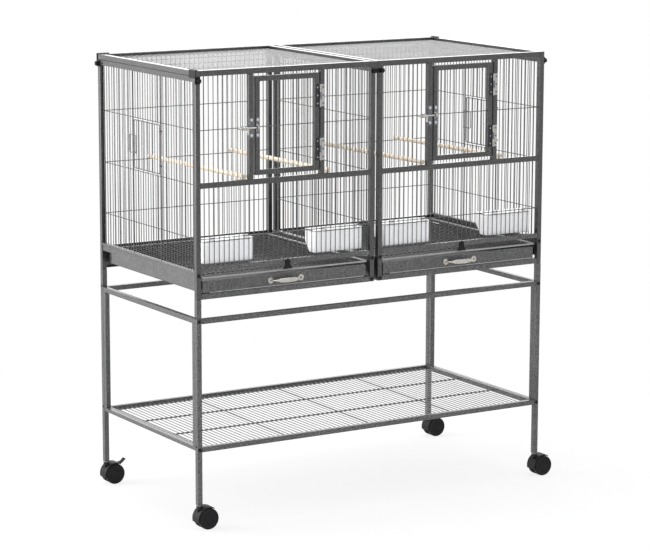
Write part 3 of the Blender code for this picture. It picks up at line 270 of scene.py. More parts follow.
WOOD = turned_wood("pale_dowel")

# Radius, look and height of a screw head
WIDE_SCREW, SLIM_SCREW = (0.0043, BLACK, 0.0024), (0.0028, BLACK, 0.0011)


def mesh_of(bm, name):
    mesh = bpy.data.meshes.new(name)
    bm.to_mesh(mesh)
    bm.free()
    return mesh


def add_object(name, data):
    made = bpy.data.objects.new(name, data)
    bpy.context.scene.collection.objects.link(made)
    return made


class Piece:
    """A visible piece, gathered from several bodies of mesh. It dresses a node, or is an extra."""

    def __init__(self, name, extra=False):
        self.name = name if extra else f"dressed_{name}"
        self.replaced = [] if extra else [name]
        self.bm = bmesh.new()
        self.looks = []

    def add(self, draw, look, bevel=0.0):
        """Draws a body, rounds its edges and takes it in."""
        bm = bmesh.new()
        draw(bm)
        bmesh.ops.recalc_face_normals(bm, faces=bm.faces)
        if bevel:
            sharp = [e for e in bm.edges if len(e.link_faces) == 2 and e.calc_face_angle(0) > 0.5]
            bmesh.ops.bevel(
                bm, geom=sharp, offset=bevel, segments=2, profile=0.5, affect="EDGES", clamp_overlap=True
            )
        if look not in self.looks:
            self.looks.append(look)
        index = self.looks.index(look)
        for face in bm.faces:
            face.material_index = index
            face.smooth = True
        mesh = mesh_of(bm, "body")
        self.bm.from_mesh(mesh)
        bpy.data.meshes.remove(mesh)

    def box(self, corner, opposite, look, bevel=0.0):
        """Adds a block between two opposite corners."""
        size = Vector(opposite) - Vector(corner)
        middle = (Vector(opposite) + Vector(corner)) / 2
        self.add(cube(Matrix.Translation(middle), map(abs, size)), look, bevel)

    def make(self, body="frame"):
        """Places the piece on its body, in place of the node that it dresses."""
        mesh = mesh_of(self.bm, self.name)
        for look in self.looks:
            mesh.materials.append(look)
        mesh.set_sharp_from_angle(angle=radians(42))
        made = add_object(self.name, mesh)
        made.location = SHIFT
        made.modifiers.new("weighted", "WEIGHTED_NORMAL").keep_sharp = True
        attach(made, body)
        if self.replaced:
            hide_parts(*self.replaced)


# Shapes. Most return a function that draws into a bmesh, for Piece.add
def point(facing, across, up, through):
    place = [0.0, 0.0, 0.0]
    for axis, value in zip(facing, (across, up, through)):
        place[axis] = value
    return Vector(place)


def cube(place, size):
    matrix = place @ Matrix.Diagonal((*size, 1))
    return lambda bm: bmesh.ops.create_cube(bm, size=1, matrix=matrix)


def windowed(facing, across, up, through):
    """A frame round one opening, from four lines each way."""

    def draw(bm):
        verts, faces = {}, []
        for i in range(3):
            for j in range(3):
                if (i, j) == (1, 1):
                    continue
                cell = []
                for key in ((i, j), (i + 1, j), (i + 1, j + 1), (i, j + 1)):
                    if key not in verts:
                        verts[key] = bm.verts.new(point(facing, across[key[0]], up[key[1]], through[0]))
                    cell.append(verts[key])
                faces.append(bm.faces.new(cell))
        drawn = bmesh.ops.extrude_face_region(bm, geom=faces, use_keep_orig=True)
        moved = [item for item in drawn["geom"] if isinstance(item, bmesh.types.BMVert)]
        bmesh.ops.translate(bm, vec=point(facing, 0, 0, through[1] - through[0]), verts=moved)
        bmesh.ops.dissolve_limit(bm, angle_limit=0.01, verts=bm.verts, edges=bm.edges)

    return draw


def ring(facing, across, up, through, member):
    """A frame whose members all have one width."""
    columns, lines = ((low, low + member, high - member, high) for low, high in (across, up))
    return windowed(facing, columns, lines, through)


def prism(outline, facing, through):
    def draw(bm):
        near, far = ([bm.verts.new(point(facing, a, b, end)) for a, b in outline] for end in through)
        bm.faces.new(near)
        bm.faces.new(reversed(far))
        for i in range(len(outline)):
            j = (i + 1) % len(outline)
            bm.faces.new((near[i], near[j], far[j], far[i]))

    return draw


def loft(rings, closed=False):
    def draw(bm):
        rows = [[bm.verts.new(place) for place in row] for row in rings]
        if not closed:
            bm.faces.new(rows[0])
            bm.faces.new(reversed(rows[-1]))
        for first, second in zip(rows, rows[1:] + rows[:1] if closed else rows[1:]):
            for i in range(len(first)):
                j = (i + 1) % len(first)
                bm.faces.new((first[i], first[j], second[j], second[i]))

    return draw


def circle(facets):
    angles = [2 * pi * i / facets for i in range(facets)]
    return [(cos(angle), sin(angle)) for angle in angles]


def turned(profile, centre, axis, facets=24):
    """A turned body, from its steps along the axis and the radius at each."""
    spin = Vector(axis).to_track_quat("Z", "Y").to_matrix()
    return loft([
        [Vector(centre) + spin @ Vector((radius * a, radius * b, along)) for a, b in circle(facets)]
        for along, radius in profile
    ])


def rod(start, end, radius, facets=16):
    axis = Vector(end) - Vector(start)
    return turned(((0, radius), (axis.length, radius)), start, axis, facets)


def swept(path, radius):
    """A round wire along a path, bent smoothly at its points."""
    places = [Vector(p) for p in path]
    rings = []
    side = None
    for i, place in enumerate(places):
        along = (places[min(i + 1, len(places) - 1)] - places[max(i - 1, 0)]).normalized()
        if side is None:
            side = along.orthogonal().normalized()
        side = (side - along * side.dot(along)).normalized()
        other = along.cross(side)
        rings.append([place + radius * (a * side + b * other) for a, b in circle(8)])
    return loft(rings)


def arc(centre, radius, start, end, steps):
    angles = [radians(start + (end - start) * step / steps) for step in range(steps + 1)]
    return [(centre[0] + radius * cos(a), centre[1] + radius * sin(a)) for a in angles]


def rounded(width, depth, radius, steps):
    outline = []
    for turn, (sx, sy) in enumerate(((1, 1), (-1, 1), (-1, -1), (1, -1))):
        middle = (sx * (width / 2 - radius), sy * (depth / 2 - radius))
        outline += arc(middle, radius, 90 * turn, 90 * (turn + 1), steps)
    return outline


def spread(low, high, spaces=None):
    """Even places between two ends, one pitch apart or for a given number of spaces."""
    spaces = spaces or max(1, round((high - low) / PITCH))
    return [low + (high - low) * i / spaces for i in range(1, spaces)]


# Details that are added to a piece
def wires(piece, facing, places, ends, through, look=LIT_WIRE_COAT, thickness=WIRE, facets=8):
    """Straight round wires up a panel."""

    def draw(bm):
        for place in places:
            start, end = (point(facing, place, height, through) for height in ends)
            rod(start, end, thickness / 2, facets)(bm)

    piece.add(draw, look)


def cross_wires(piece, facing, ends, places, through, *finish):
    """Straight round wires across a panel."""
    wires(piece, (facing[1], facing[0], facing[2]), places, ends, through, *finish)


def beads(piece, places, look=LIT_WIRE_COAT, radius=0.0013):
    """Small round welds."""

    def draw(bm):
        for place in places:
            bmesh.ops.create_icosphere(bm, subdivisions=1, radius=radius, matrix=Matrix.Translation(place))

    piece.add(draw, look)


def crossings(piece, facing, across, up, through, *finish):
    beads(piece, [point(facing, a, b, through) for a in across for b in up], *finish)


def grid(piece, spans, up, rows, side=1):
    """Wires up a front or back panel, wires across behind them, and a weld at each crossing."""
    y = side * (FRONT + INSET)
    for across in spans:
        places = spread(*across)
        wires(piece, FACE, places, (up[0] - GRIP, up[1] + GRIP), y)
        cross_wires(piece, FACE, (across[0] - GRIP, across[1] + GRIP), rows, y + side * BEHIND)
        crossings(piece, FACE, places, rows, y + side * WIRE / 2)


def bent_frame(piece, facing, across, up, through, radius, look, bend=0.004):
    """A closed wire frame with rounded corners."""
    corners = [point(facing, across[i], up[j], through) for i, j in ((0, 0), (1, 0), (1, 1), (0, 1))]
    path = []
    for i, here in enumerate(corners):
        before, after = corners[i - 1], corners[(i + 1) % 4]
        start, end = here + (before - here).normalized() * bend, here + (after - here).normalized() * bend
        for step in range(7):
            t = step / 6
            path.append(start * (1 - t) ** 2 + here * 2 * t * (1 - t) + end * t**2)
    normal = (corners[1] - corners[0]).cross(corners[2] - corners[1]).normalized()
    rings = []
    for i, place in enumerate(path):
        along = (path[(i + 1) % len(path)] - path[i - 1]).normalized()
        other = along.cross(normal)
        rings.append([place + radius * (a * normal + b * other) for a, b in circle(8)])
    piece.add(loft(rings, closed=True), look)


def screw(piece, place, axis, radius, look=SCREW, height=0.0008):
    """A pan-head screw with a cross recess; the recess is a black cross, painted shade."""
    axis = Vector(axis).normalized()
    shoulder = (height * 0.85, radius * 0.78)
    profile = ((-0.0004, radius), (height * 0.45, radius), shoulder, (height, radius * 0.4))
    piece.add(turned(profile, place, axis, 14), look)
    side = axis.orthogonal().normalized()
    other = axis.cross(side)
    # The recess is a black cross on the head: painted shade in the recess
    recess = Matrix.Translation(Vector(place) + axis * height - axis * height * 0.2)
    for first, second in ((side, other), (other, side)):
        turn = Matrix((first, second, axis)).transposed().to_4x4()
        piece.add(cube(recess @ turn, (radius * 1.1, radius * 0.2, height * 0.5)), BLACK)


def welds(piece, facing, across, up, through, size):
    """Fillet beads in corners between tubes. Each line comes with the side that its corner opens to."""
    for a, sa in across:
        for b, sb in up:
            inner = (a + sa * size * 0.35, b + sb * size * 0.35)
            piece.add(prism([(a, b), (a + sa * size, b), inner, (a, b + sb * size)], facing, through), COAT)


def knob(piece, place, axis, length):
    """A ribbed thumb nut."""
    profile = ((0, 0.004), (0.0012, 0.005), (length * 0.85, 0.005), (length, 0.0042))
    piece.add(turned(profile, place, axis, 20), BLACK)
    axis = Vector(axis)
    level = Vector((axis.y, -axis.x, 0))
    for a, b in circle(10):
        start = Vector(place) + (level * a + Vector((0, 0, b))) * 0.0049 + axis * 0.0014
        piece.add(rod(start, start + axis * (length * 0.78), 0.0006, 6), BLACK)


# Stand
def stand():
    for depth_name, y, out in (("front", FRONT, -1), ("back", BACK - TUBE, 1)):
        for side_name, x, outward in (("left", LEFT, -1), ("right", RIGHT - TUBE, 1)):
            piece = Piece(f"stand_post_{depth_name}_{side_name}")
            piece.add(ring(UP, (x, x + TUBE), (y, y + TUBE), (FOOT_Z, BASE_Z), 0.001), LOWER_LIT_COAT, 0.0009)
            for height in (SHELF_Z - 0.006, UPPER_Z - 0.006):
                for push, lift, size in (((0, out, 0), 0, WIDE_SCREW), ((outward, 0, 0), 0.008, SLIM_SCREW)):
                    place = Vector((x + TUBE / 2, y + TUBE / 2, height)) + Vector(push) * TUBE / 2
                    place.z += lift
                    screw(piece, place, push, *size)
            piece.make()
        piece = Piece(f"{depth_name}_cross_rail")
        piece.box((INNER_X[0], y, UPPER_Z - TUBE), (INNER_X[1], y + TUBE, UPPER_Z), LOWER_LIT_COAT, EDGE)
        piece.make()
    for side_name, x in (("left", LEFT), ("right", RIGHT - TUBE)):
        piece = Piece(f"side_loop_{side_name}")
        columns = (INNER_Y[0], INNER_Y[0] + TUBE, INNER_Y[1] - TUBE, INNER_Y[1])
        lines = (SHELF_Z - 0.009, SHELF_Z, UPPER_Z - TUBE, UPPER_Z)
        piece.add(windowed(SIDE, columns, lines, (x, x + TUBE)), LOWER_LIT_COAT, EDGE)
        across, up = (((line[1], 1), (line[2], -1)) for line in (columns, lines))
        welds(piece, SIDE, across, up, (x + 0.0015, x + TUBE - 0.0015), 0.0022)
        piece.make()
    shelf()


def shelf():
    piece = Piece("storage_shelf")
    edge, rod_z, thick_wire = 0.006, SHELF_Z - 0.0058, (LOWER_LIT_COAT, 0.0034, 10)
    columns = (INNER_X[0], INNER_X[0] + edge, INNER_X[1] - edge, INNER_X[1])
    lines = (FRONT, FRONT + TUBE, BACK - TUBE, BACK)
    piece.add(windowed(UP, columns, lines, (SHELF_Z - TUBE, SHELF_Z)), LOWER_LIT_COAT, EDGE)
    thick = spread(*INNER_X, 4)
    fine = []
    for low, high in zip([columns[1]] + thick, thick + [columns[2]]):
        fine += spread(low, high)
    ends = (lines[1] - GRIP, lines[2] + GRIP)
    wires(piece, UP, thick, ends, rod_z, *thick_wire)
    wires(piece, UP, fine, ends, rod_z)
    long_rods = [place + 0.008 for place in spread(*INNER_Y, 3)]
    cross_wires(piece, UP, (INNER_X[0] + 0.003, INNER_X[1] - 0.003), long_rods, rod_z - 0.0026, *thick_wire)
    crossings(piece, UP, fine + thick, long_rods, rod_z - 0.0011, LIT_WIRE_COAT, 0.0014)
    piece.make()


# Casters
def caster(name, x, y, braked):
    axle = (x + TRAIL, WHEEL_R)
    inner, outer = WHEEL_R + 0.001, WHEEL_R + 0.0035
    half = HUB + 0.012
    start, end = 60.0, 195.0
    hood = Piece(f"caster_hood_{name}")
    rings = []
    for edge, drop in ((-1, 0.0024), (-0.96, 0.0008), (-0.86, 0.0), (0.86, 0.0), (0.96, 0.0008), (1, 0.0024)):
        outline = arc(axle, outer - drop, start, end, 22) + arc(axle, inner, end, start, 22)
        rings.append([(a, y + edge * half, b) for a, b in outline])
    hood.add(loft(rings), BLACK)
    web = arc(axle, (inner + outer) / 2, start + 1, end - 1, 22) + arc(axle, 0.007, end, start + 360, 14)
    hood.add(prism(web, FACE, (y - 0.0042, y + 0.0042)), BLACK, 0.0006)
    collar = FOOT_Z - SEAT - 0.0032
    hood.box((x - 0.006, y - 0.004, WHEEL_R + inner / 2), (x + 0.006, y + 0.004, collar), BLACK, 0.001)
    neck = WHEEL_R + sqrt(inner**2 - (TRAIL - 0.006) ** 2)
    swivel = ((neck, 0.0078), (neck + 0.003, 0.0066), (collar, 0.0062))
    flange = ((collar, 0.0066), (collar + 0.0006, 0.007), (collar + 0.0026, 0.007), (collar + 0.0032, 0.0066))
    stem = ((collar + 0.0032, 0.0045), (FOOT_Z + 0.033, 0.0045), (FOOT_Z + 0.035, 0.0036))
    for profile, look, facets in ((swivel, BLACK, 28), (flange, ZINC, 28), (stem, SCREW, 20)):
        hood.add(turned(profile, (x, y, 0), SKYWARD, facets), look)
    hood.make(f"caster_{name}")

    wheels = Piece(f"caster_wheels_{name}")
    rim = WHEEL_R - 0.0001
    disc = (
        (HUB, 0.004), (HUB, rim - 0.0016), (0.0054, rim - 0.0004), (0.0066, rim), (0.0145, rim),
        (0.0157, rim - 0.0006), (0.0164, rim - 0.0026), (0.0165, rim - 0.0042), (0.0158, rim - 0.0048),
        (0.0154, rim - 0.006), (0.0146, 0.0135), (0.0144, 0.01), (0.0152, 0.0086), (0.0159, 0.0078),
        (0.0161, 0.0052), (0.0157, 0.0036), (0.015, 0.003),
    )
    tread = ((0.0068, rim - 0.0002), (0.007, rim + 0.0001), (0.0142, rim + 0.0001), (0.0144, rim - 0.0002))
    for side in (-1, 1):
        for profile, look in ((disc, BLACK), (tread, TREAD)):
            wheels.add(turned(profile, (axle[0], y, axle[1]), (0, side, 0), 48), look)
        for k in range(6):
            angle = pi * (k + 0.5) / 3
            middle = (axle[0] + 0.0142 * cos(angle), y + side * 0.0148, axle[1] + 0.0142 * sin(angle))
            turn = Matrix.Translation(middle) @ Matrix.Rotation(-angle, 4, "Y")
            wheels.add(cube(turn, (0.009, 0.0012, 0.0016)), BLACK, 0.0003)
    wheels.add(rod((axle[0], y - 0.0046, axle[1]), (axle[0], y + 0.0046, axle[1]), 0.003), SCREW)
    wheels.make(f"wheels_{name}")
    if braked:
        brake(name, axle, y, outer + SEAT, start)


def brake(name, axle, y, reach, hood_end):
    """The lever on the hood's upper end, with ribs for the toe."""
    angle = radians(hood_end - degrees(asin(0.0029 / reach)))
    pivot = Vector((axle[0] + reach * cos(angle), axle[1] + reach * sin(angle)))
    lean = radians(25)
    along, side = Vector((cos(lean), sin(lean))), Vector((-sin(lean), cos(lean)))
    outline = arc(pivot, 0.0026, 115, 295, 10)
    for a, b in (
        (0.004, -0.0024), (0.008, -0.0016), (0.012, -0.0002), (0.0172, 0.0008), (0.018, 0.002),
        (0.0176, 0.0034), (0.0163, 0.0042), (0.0146, 0.0036), (0.0112, 0.002), (0.007, 0.001),
        (0.0036, 0.0014),
    ):
        outline.append(tuple(pivot + along * a + side * b))
    lever = Piece(f"brake_lever_{name}")
    lever.add(prism(outline, FACE, (y - 0.006, y + 0.006)), BLACK, 0.0005)
    for step in range(3):
        place = pivot + along * (0.0125 + 0.0016 * step) + side * (0.0028 + 0.0005 * step)
        low = (place.x - 0.0004, y - 0.0045, place.y - 0.0004)
        lever.box(low, (place.x + 0.0004, y + 0.0045, place.y + 0.0005), TREAD, 0.0002)
    lever.make(f"brake_{name}")


# Cages
def clip(name, corner, knob_out, side_out, strap=True):
    """The plastic clip at the top of a corner post, with its thumb screw in the short side."""
    piece = Piece(f"corner_clip_{name}", extra=True)
    corner, knob_out, side_out = Vector(corner), Vector(knob_out), Vector(side_out)

    def placed(across, along, z):
        flat = corner - side_out * across - knob_out * along
        return Vector((flat.x, flat.y, z))

    wall, inner, reach, foot = 0.0022, TUBE - SEAT, 0.028, TOP_Z - 0.03
    parts = [((-wall if strap else 0, -wall, foot), (inner, 0, TOP_Z - 0.0135), 0.0008)]
    if strap:
        parts += [
            ((-wall, 0.003, TOP_Z), (inner * 0.7, reach, TOP_Z + wall * 0.7), 0.0006),
            ((-wall, -wall * 0.9, TOP_Z - 0.017), (-0.0001, reach, TOP_Z + wall * 0.6), 0.0007),
        ]
    for first, second, bevel in parts:
        piece.box(placed(*first), placed(*second), BLACK, bevel)
    knob(piece, placed(TUBE / 2, -wall * 0.8, foot + 0.0077), (*knob_out, 0), 0.0074)
    piece.make("frame")


def post_fittings(piece, name, x0, y, out):
    """The plug in the foot of a cage's outer post, and the screws in both of its posts."""
    outer_x, middle_x = (LEFT, x0 + BAY - TUBE) if name == "left" else (RIGHT - TUBE, x0)
    wall = 0.0013
    low = (outer_x + wall, y + wall, BASE_Z - 0.024)
    piece.box(low, (outer_x + TUBE - wall, y + TUBE - wall, BASE_Z + 0.002), BLACK, 0.0005)
    face = y if out < 0 else BACK
    for x, height in zip((outer_x, middle_x, middle_x), POST_SCREWS):
        screw(piece, (x + TUBE / 2, face, BASE_Z + height), (0, out, 0), *WIDE_SCREW)


def front_panel(name, x0):
    piece = Piece(f"front_panel_{name}")
    hinge_x = JAMB + TUBE + LATCH_GAP + DOOR_WIDTH + HINGE_GAP
    offsets = (0, TUBE, JAMB, JAMB + TUBE, hinge_x, hinge_x + TUBE, BAY - TUBE, BAY)
    columns = [x0 + offset for offset in offsets]
    lines = (BASE_Z + SEAT, FRONT_RAIL_Z, FRONT_RAIL_Z + FRONT_RAIL, MID_Z, MID_Z + RAIL, TOP_Z - RAIL, TOP_Z)
    inner = (columns[1], columns[6])
    for i in (0, 6):
        piece.box((columns[i], FRONT, lines[0]), (columns[i + 1], FRONT + TUBE, TOP_Z), COAT, EDGE)
    # The lowest rail takes the lighter copy of the coat: painted light from the floor's bounce
    for i, look in ((1, LOWER_LIT_COAT), (3, COAT), (5, COAT)):
        start = (inner[0] - LAP, FRONT + LAP, lines[i])
        piece.box(start, (inner[1] + LAP, FRONT + TUBE - LAP, lines[i + 1]), look, EDGE)
    for i in (2, 4):
        start = (columns[i], FRONT + 2 * LAP, lines[4] - LAP)
        piece.box(start, (columns[i + 1], FRONT + TUBE - 2 * LAP, lines[5] + LAP), COAT, EDGE)
    up = ((lines[2], 1), (lines[3], -1), (lines[4], 1), (lines[5], -1))
    welds(piece, FACE, ((inner[0], 1), (inner[1], -1)), up, WELD_DEPTH, WELD)
    grid(piece, [inner], lines[2:4], ROWS[2:])
    grid(piece, (columns[1:3], columns[5:7]), lines[4:6], ROWS[:1])
    post_fittings(piece, name, x0, FRONT, -1)
    piece.make()


def back_panel(name, x0):
    piece = Piece(f"back_panel_{name}")
    inner = (x0 + TUBE, x0 + BAY - TUBE)
    near, foot = BACK - TUBE, BASE_Z + APRON + SEAT
    for low, high in ((x0, inner[0]), (inner[1], x0 + BAY)):
        piece.box((low, near, BASE_Z + SEAT), (high, BACK, TOP_Z), COAT, EDGE)
    for low, high in ((foot, foot + 0.006), (TOP_Z - RAIL, TOP_Z)):
        piece.box((inner[0] - LAP, near + LAP, low), (inner[1] + LAP, BACK - LAP, high), COAT, EDGE)
    grid(piece, [inner], (foot + 0.006, TOP_Z - RAIL), ROWS, -1)
    post_fittings(piece, name, x0, near, 1)
    piece.make()


def side_grille(name, outer_x, inward, width, foot, opening):
    piece = Piece(name)
    head = (TOP_Z - 2 * RAIL, TOP_Z - RAIL - SEAT)
    # The foot rail takes the lighter copy of the coat: painted light from the floor's bounce
    for up, look in ((head, COAT), ((foot, foot + 0.006), LOWER_LIT_COAT)):
        piece.box((outer_x, INNER_Y[0], up[0]), (outer_x + inward * width, INNER_Y[1], up[1]), look, EDGE)
    through = outer_x + inward * (INSET - SEAT)
    edges = [INNER_Y[0] + EDGE_WIRE, INNER_Y[1] - EDGE_WIRE]
    uprights = (foot + 0.005, head[0] + GRIP)
    short = []
    if opening:
        short = spread(*opening)
        wires(piece, SIDE, short, (ROWS[0] - GRIP, uprights[1]), through)
        wires(piece, SIDE, short, (uprights[0], ROWS[1] + GRIP), through)
        thick = edges + opening
        fine = spread(edges[0], opening[0]) + spread(opening[1], edges[1])
    else:
        thick, fine = edges, spread(*edges)
    wires(piece, SIDE, thick, uprights, through, LIT_WIRE_COAT, EDGE_WIRE, 10)
    wires(piece, SIDE, fine, uprights, through)
    cross_wires(piece, SIDE, edges, ROWS, through + inward * BEHIND)
    crossings(piece, SIDE, fine + short + thick, ROWS, through + inward * WIRE / 2)
    piece.make()


def nest_door(name, outer_x, inward):
    piece = Piece(f"nest_door_{name}")
    through = outer_x + inward * (INSET - SEAT)
    half, latch_wire = 0.0015, 0.0011
    hinge_y = NEST_OPENING[0]
    across = (hinge_y + 0.0035, NEST_OPENING[1] - EDGE_WIRE / 2 - 0.003)
    up = (ROWS[1] + WIRE / 2 + 0.003, ROWS[0] - WIRE / 2 - 0.003)
    inner_up = (up[0] + half, up[1] - half)
    bent_frame(piece, SIDE, (across[0] + half, across[1] - half), inner_up, through, 0.0014, LIT_WIRE_COAT)
    wires(piece, SIDE, spread(*across), inner_up, through)
    for z in (up[0] + 0.018, up[1] - 0.018):
        coil = []
        for step in range(41):
            angle = 2 * pi * step / 16
            place = (through + 0.0035 * sin(angle), hinge_y + 0.0035 * cos(angle))
            coil.append((*place, z + 0.0009 + 0.0032 * step / 40))
        piece.add(swept(coil, 0.0008), LIT_WIRE_COAT)
    outside = through - inward * (EDGE_WIRE / 2 + SEAT + latch_wire)
    middle = sum(up) / 2
    latch_y = (across[1] - 0.0165 + latch_wire, across[1] + 0.0165 - latch_wire)
    latch_z = (middle - 0.022 + latch_wire, middle + 0.022 - latch_wire)
    bent_frame(piece, SIDE, latch_y, latch_z, outside, 0.001, LIT_WIRE_COAT)
    for z in latch_z:
        beads(piece, [((outside + through) / 2, across[1] - half, z)], LIT_WIRE_COAT, 0.0016)
    piece.make(f"nest_{name}")


def top_panel(name, x0):
    piece = Piece(f"top_panel_{name}")
    across = (x0 + SEAT, x0 + BAY - SEAT)
    along, up = INNER_Y, (TOP_Z - RAIL, TOP_Z - 2 * SEAT)
    side = TUBE - SEAT
    inner = (across[0] + side, across[1] - side)
    for low, high in ((across[0], inner[0]), (inner[1], across[1])):
        piece.box((low, along[0], up[0]), (high, along[1], up[1]), COAT, EDGE)
    for low, high in ((along[0], along[0] + 0.005), (along[1] - 0.005, along[1])):
        piece.box((inner[0] - LAP, low, up[0]), (inner[1] + LAP, high, up[1]), COAT, 0.0008)
    through = sum(up) / 2
    places, crossing = spread(*inner), spread(*along, 4)
    # The roof's wires are in the pale copy of the wire coat: a painted reflection on their tops
    wires(piece, UP, places, (along[0] + 0.004, along[1] - 0.004), through, ROOF_REFLECTION_COAT)
    cross_wires(piece, UP, (inner[0] - GRIP, inner[1] + GRIP), crossing, through - WIRE, ROOF_REFLECTION_COAT)
    crossings(piece, UP, places, crossing, through - WIRE / 2, ROOF_REFLECTION_COAT)
    piece.make()


def tray(name, x0):
    across = (x0 + TUBE + 0.0045, x0 + BAY - TUBE - 0.01)
    along = (FRONT + 0.003, BACK - 0.016)
    centre = (sum(across) / 2, sum(along) / 2)
    piece = Piece(f"tray_{name}")
    rings = []
    for z, inset, radius in (
        (TRAY_Z, 0.0012, 0.001), (TRAY_Z + 0.0004, 0.0003, 0.0013), (TRAY_Z + 0.0014, 0, 0.0014),
        (TRAY_TOP - 0.0012, 0, 0.0014), (TRAY_TOP - 0.0003, 0.0004, 0.0014), (TRAY_TOP, 0.0012, 0.0012),
        (TRAY_TOP, 0.003, 0.001), (TRAY_TOP - 0.0004, 0.0038, 0.001), (TRAY_TOP - 0.0012, 0.004, 0.001),
        (TRAY_TOP - 0.0022, 0.0036, 0.001), (TRAY_TOP - 0.0024, 0.0018, 0.001),
        (TRAY_Z + 0.003, 0.0017, 0.001), (TRAY_Z + 0.0019, 0.0024, 0.001), (TRAY_Z + 0.0016, 0.0034, 0.001),
    ):
        outline = rounded(across[1] - across[0] - 2 * inset, along[1] - along[0] - 2 * inset, radius, 4)
        rings.append([(centre[0] + a, centre[1] + b, z) for a, b in outline])
    piece.add(loft(rings), LOWER_LIT_COAT)
    # The tray's floor is near black: painted shade inside the tray
    floor = (across[0] + 0.002, along[0] + 0.002, TRAY_Z + 0.0014)
    piece.box(floor, (across[1] - 0.002, along[1] - 0.002, TRAY_Z + 0.002), PAN_SHADE_COAT, 0.0002)
    # A thin bead in the pale coat along the tray's bottom front edge: a painted highlight
    highlight_hem = (across[0] + 0.018, along[0] - 0.0013, TRAY_Z + 0.0002)
    piece.box(highlight_hem, (across[1] - 0.006, along[0] + 0.0004, TRAY_Z + 0.002), HEM_HIGHLIGHT_COAT, 0.0006)
    piece.make(f"tray_pan_{name}")
    tray_handle(name, Vector((centre[0], along[0], TRAY_Z + 0.01425)))


def tray_handle(name, middle):
    """A bowed bar between two rosettes, each with a collar beside it and a screw in it."""
    handle = Piece(f"tray_handle_{name}")
    face, half = middle.y - SEAT, 0.0405

    def section(t, thick, tall):
        y = face - 0.0016 - 0.0158 * max(0.0, cos(t * pi / 2)) ** 0.5
        lean = atan2(t, 1 - 0.5 * abs(t))
        return [
            (middle.x + t * half + thick * a * sin(lean), y - thick * a * cos(lean), middle.z + tall * b)
            for a, b in circle(16)
        ]

    rings = []
    for step in range(41):
        t = step / 20 - 1
        flat = max(0.0, 1 - (abs(t) / 0.7) ** 4)
        rings.append(section(t, 0.0015, 0.0015 + 0.0038 * flat**0.7))
    handle.add(loft(rings), NICKEL)
    rosette = (
        (0, 0.0077), (0.0008, 0.0078), (0.0014, 0.0074), (0.001, 0.0064), (0.0011, 0.0058), (0.0021, 0.0052),
        (0.0025, 0.0036),
    )
    for side in (-1, 1):
        place = (middle.x + side * half, face, middle.z)
        handle.add(turned(rosette, place, FORWARD, 28), NICKEL)
        screw(handle, (place[0], face - 0.0022, place[2]), FORWARD, 0.0024, ZINC, 0.0011)
        collar = []
        for step, grow in enumerate((1.0, 1.28, 1.36, 1.28, 1.0)):
            t = side * 0.0286 / half + side * (step - 2) * 0.012
            collar.append(section(t, grow * 0.0016, grow * 0.003))
        handle.add(loft(collar), NICKEL)
    handle.make(f"tray_pan_{name}")


def grate(name, x0):
    piece = Piece(f"grate_{name}")
    rod_d, edge_r = 0.005, 0.0024
    across = (x0 + TUBE + 0.0025, x0 + BAY - TUBE - 0.0025)
    along = (FRONT + 0.0035, BACK - 0.016)
    centre_x, centre_y = ((low + edge_r, high - edge_r) for low, high in (across, along))
    # The frame rod is in the pale copy of the coat: a painted highlight along its top
    bent_frame(piece, UP, centre_x, centre_y, GRATE_Z + rod_d / 2, edge_r, ROD_HIGHLIGHT_COAT, 0.006)
    through = GRATE_Z + rod_d - WIRE / 2
    places = spread(across[0] + rod_d, across[1] - rod_d)
    # The grate's wires are in the darker copy of the wire coat: painted shade in the tray
    wires(piece, UP, places, (along[0] + 0.001, along[1] - 0.001), through, GRATE_SHADE_COAT)
    ends = (across[0] + 0.002, across[1] - 0.002)
    cross_wires(piece, UP, ends, spread(*along, 10), through - BEHIND, GRATE_SHADE_COAT)
    piece.make(f"grate_floor_{name}")


def stop_catch(name, x0):
    piece = Piece(f"stop_catch_{name}")
    x, z = x0 + BAY / 2, FRONT_RAIL_Z + FRONT_RAIL / 2
    outline = arc((x, z), 0.0065, -20, 200, 16)
    sides = ((0.0068, 0.0075), (0.0119, 0.015), (0.0118, 0.0165))
    outline += [(x - a, z - b) for a, b in sides] + [(x + a, z - b) for a, b in reversed(sides)]
    piece.add(prism(outline, FACE, (FRONT - SEAT - 0.003, FRONT - SEAT)), BLACK, 0.0005)
    screw(piece, (x, FRONT - SEAT - 0.0026, z), FORWARD, 0.0026, BLACK, 0.0009)
    piece.make(f"catch_{name}")


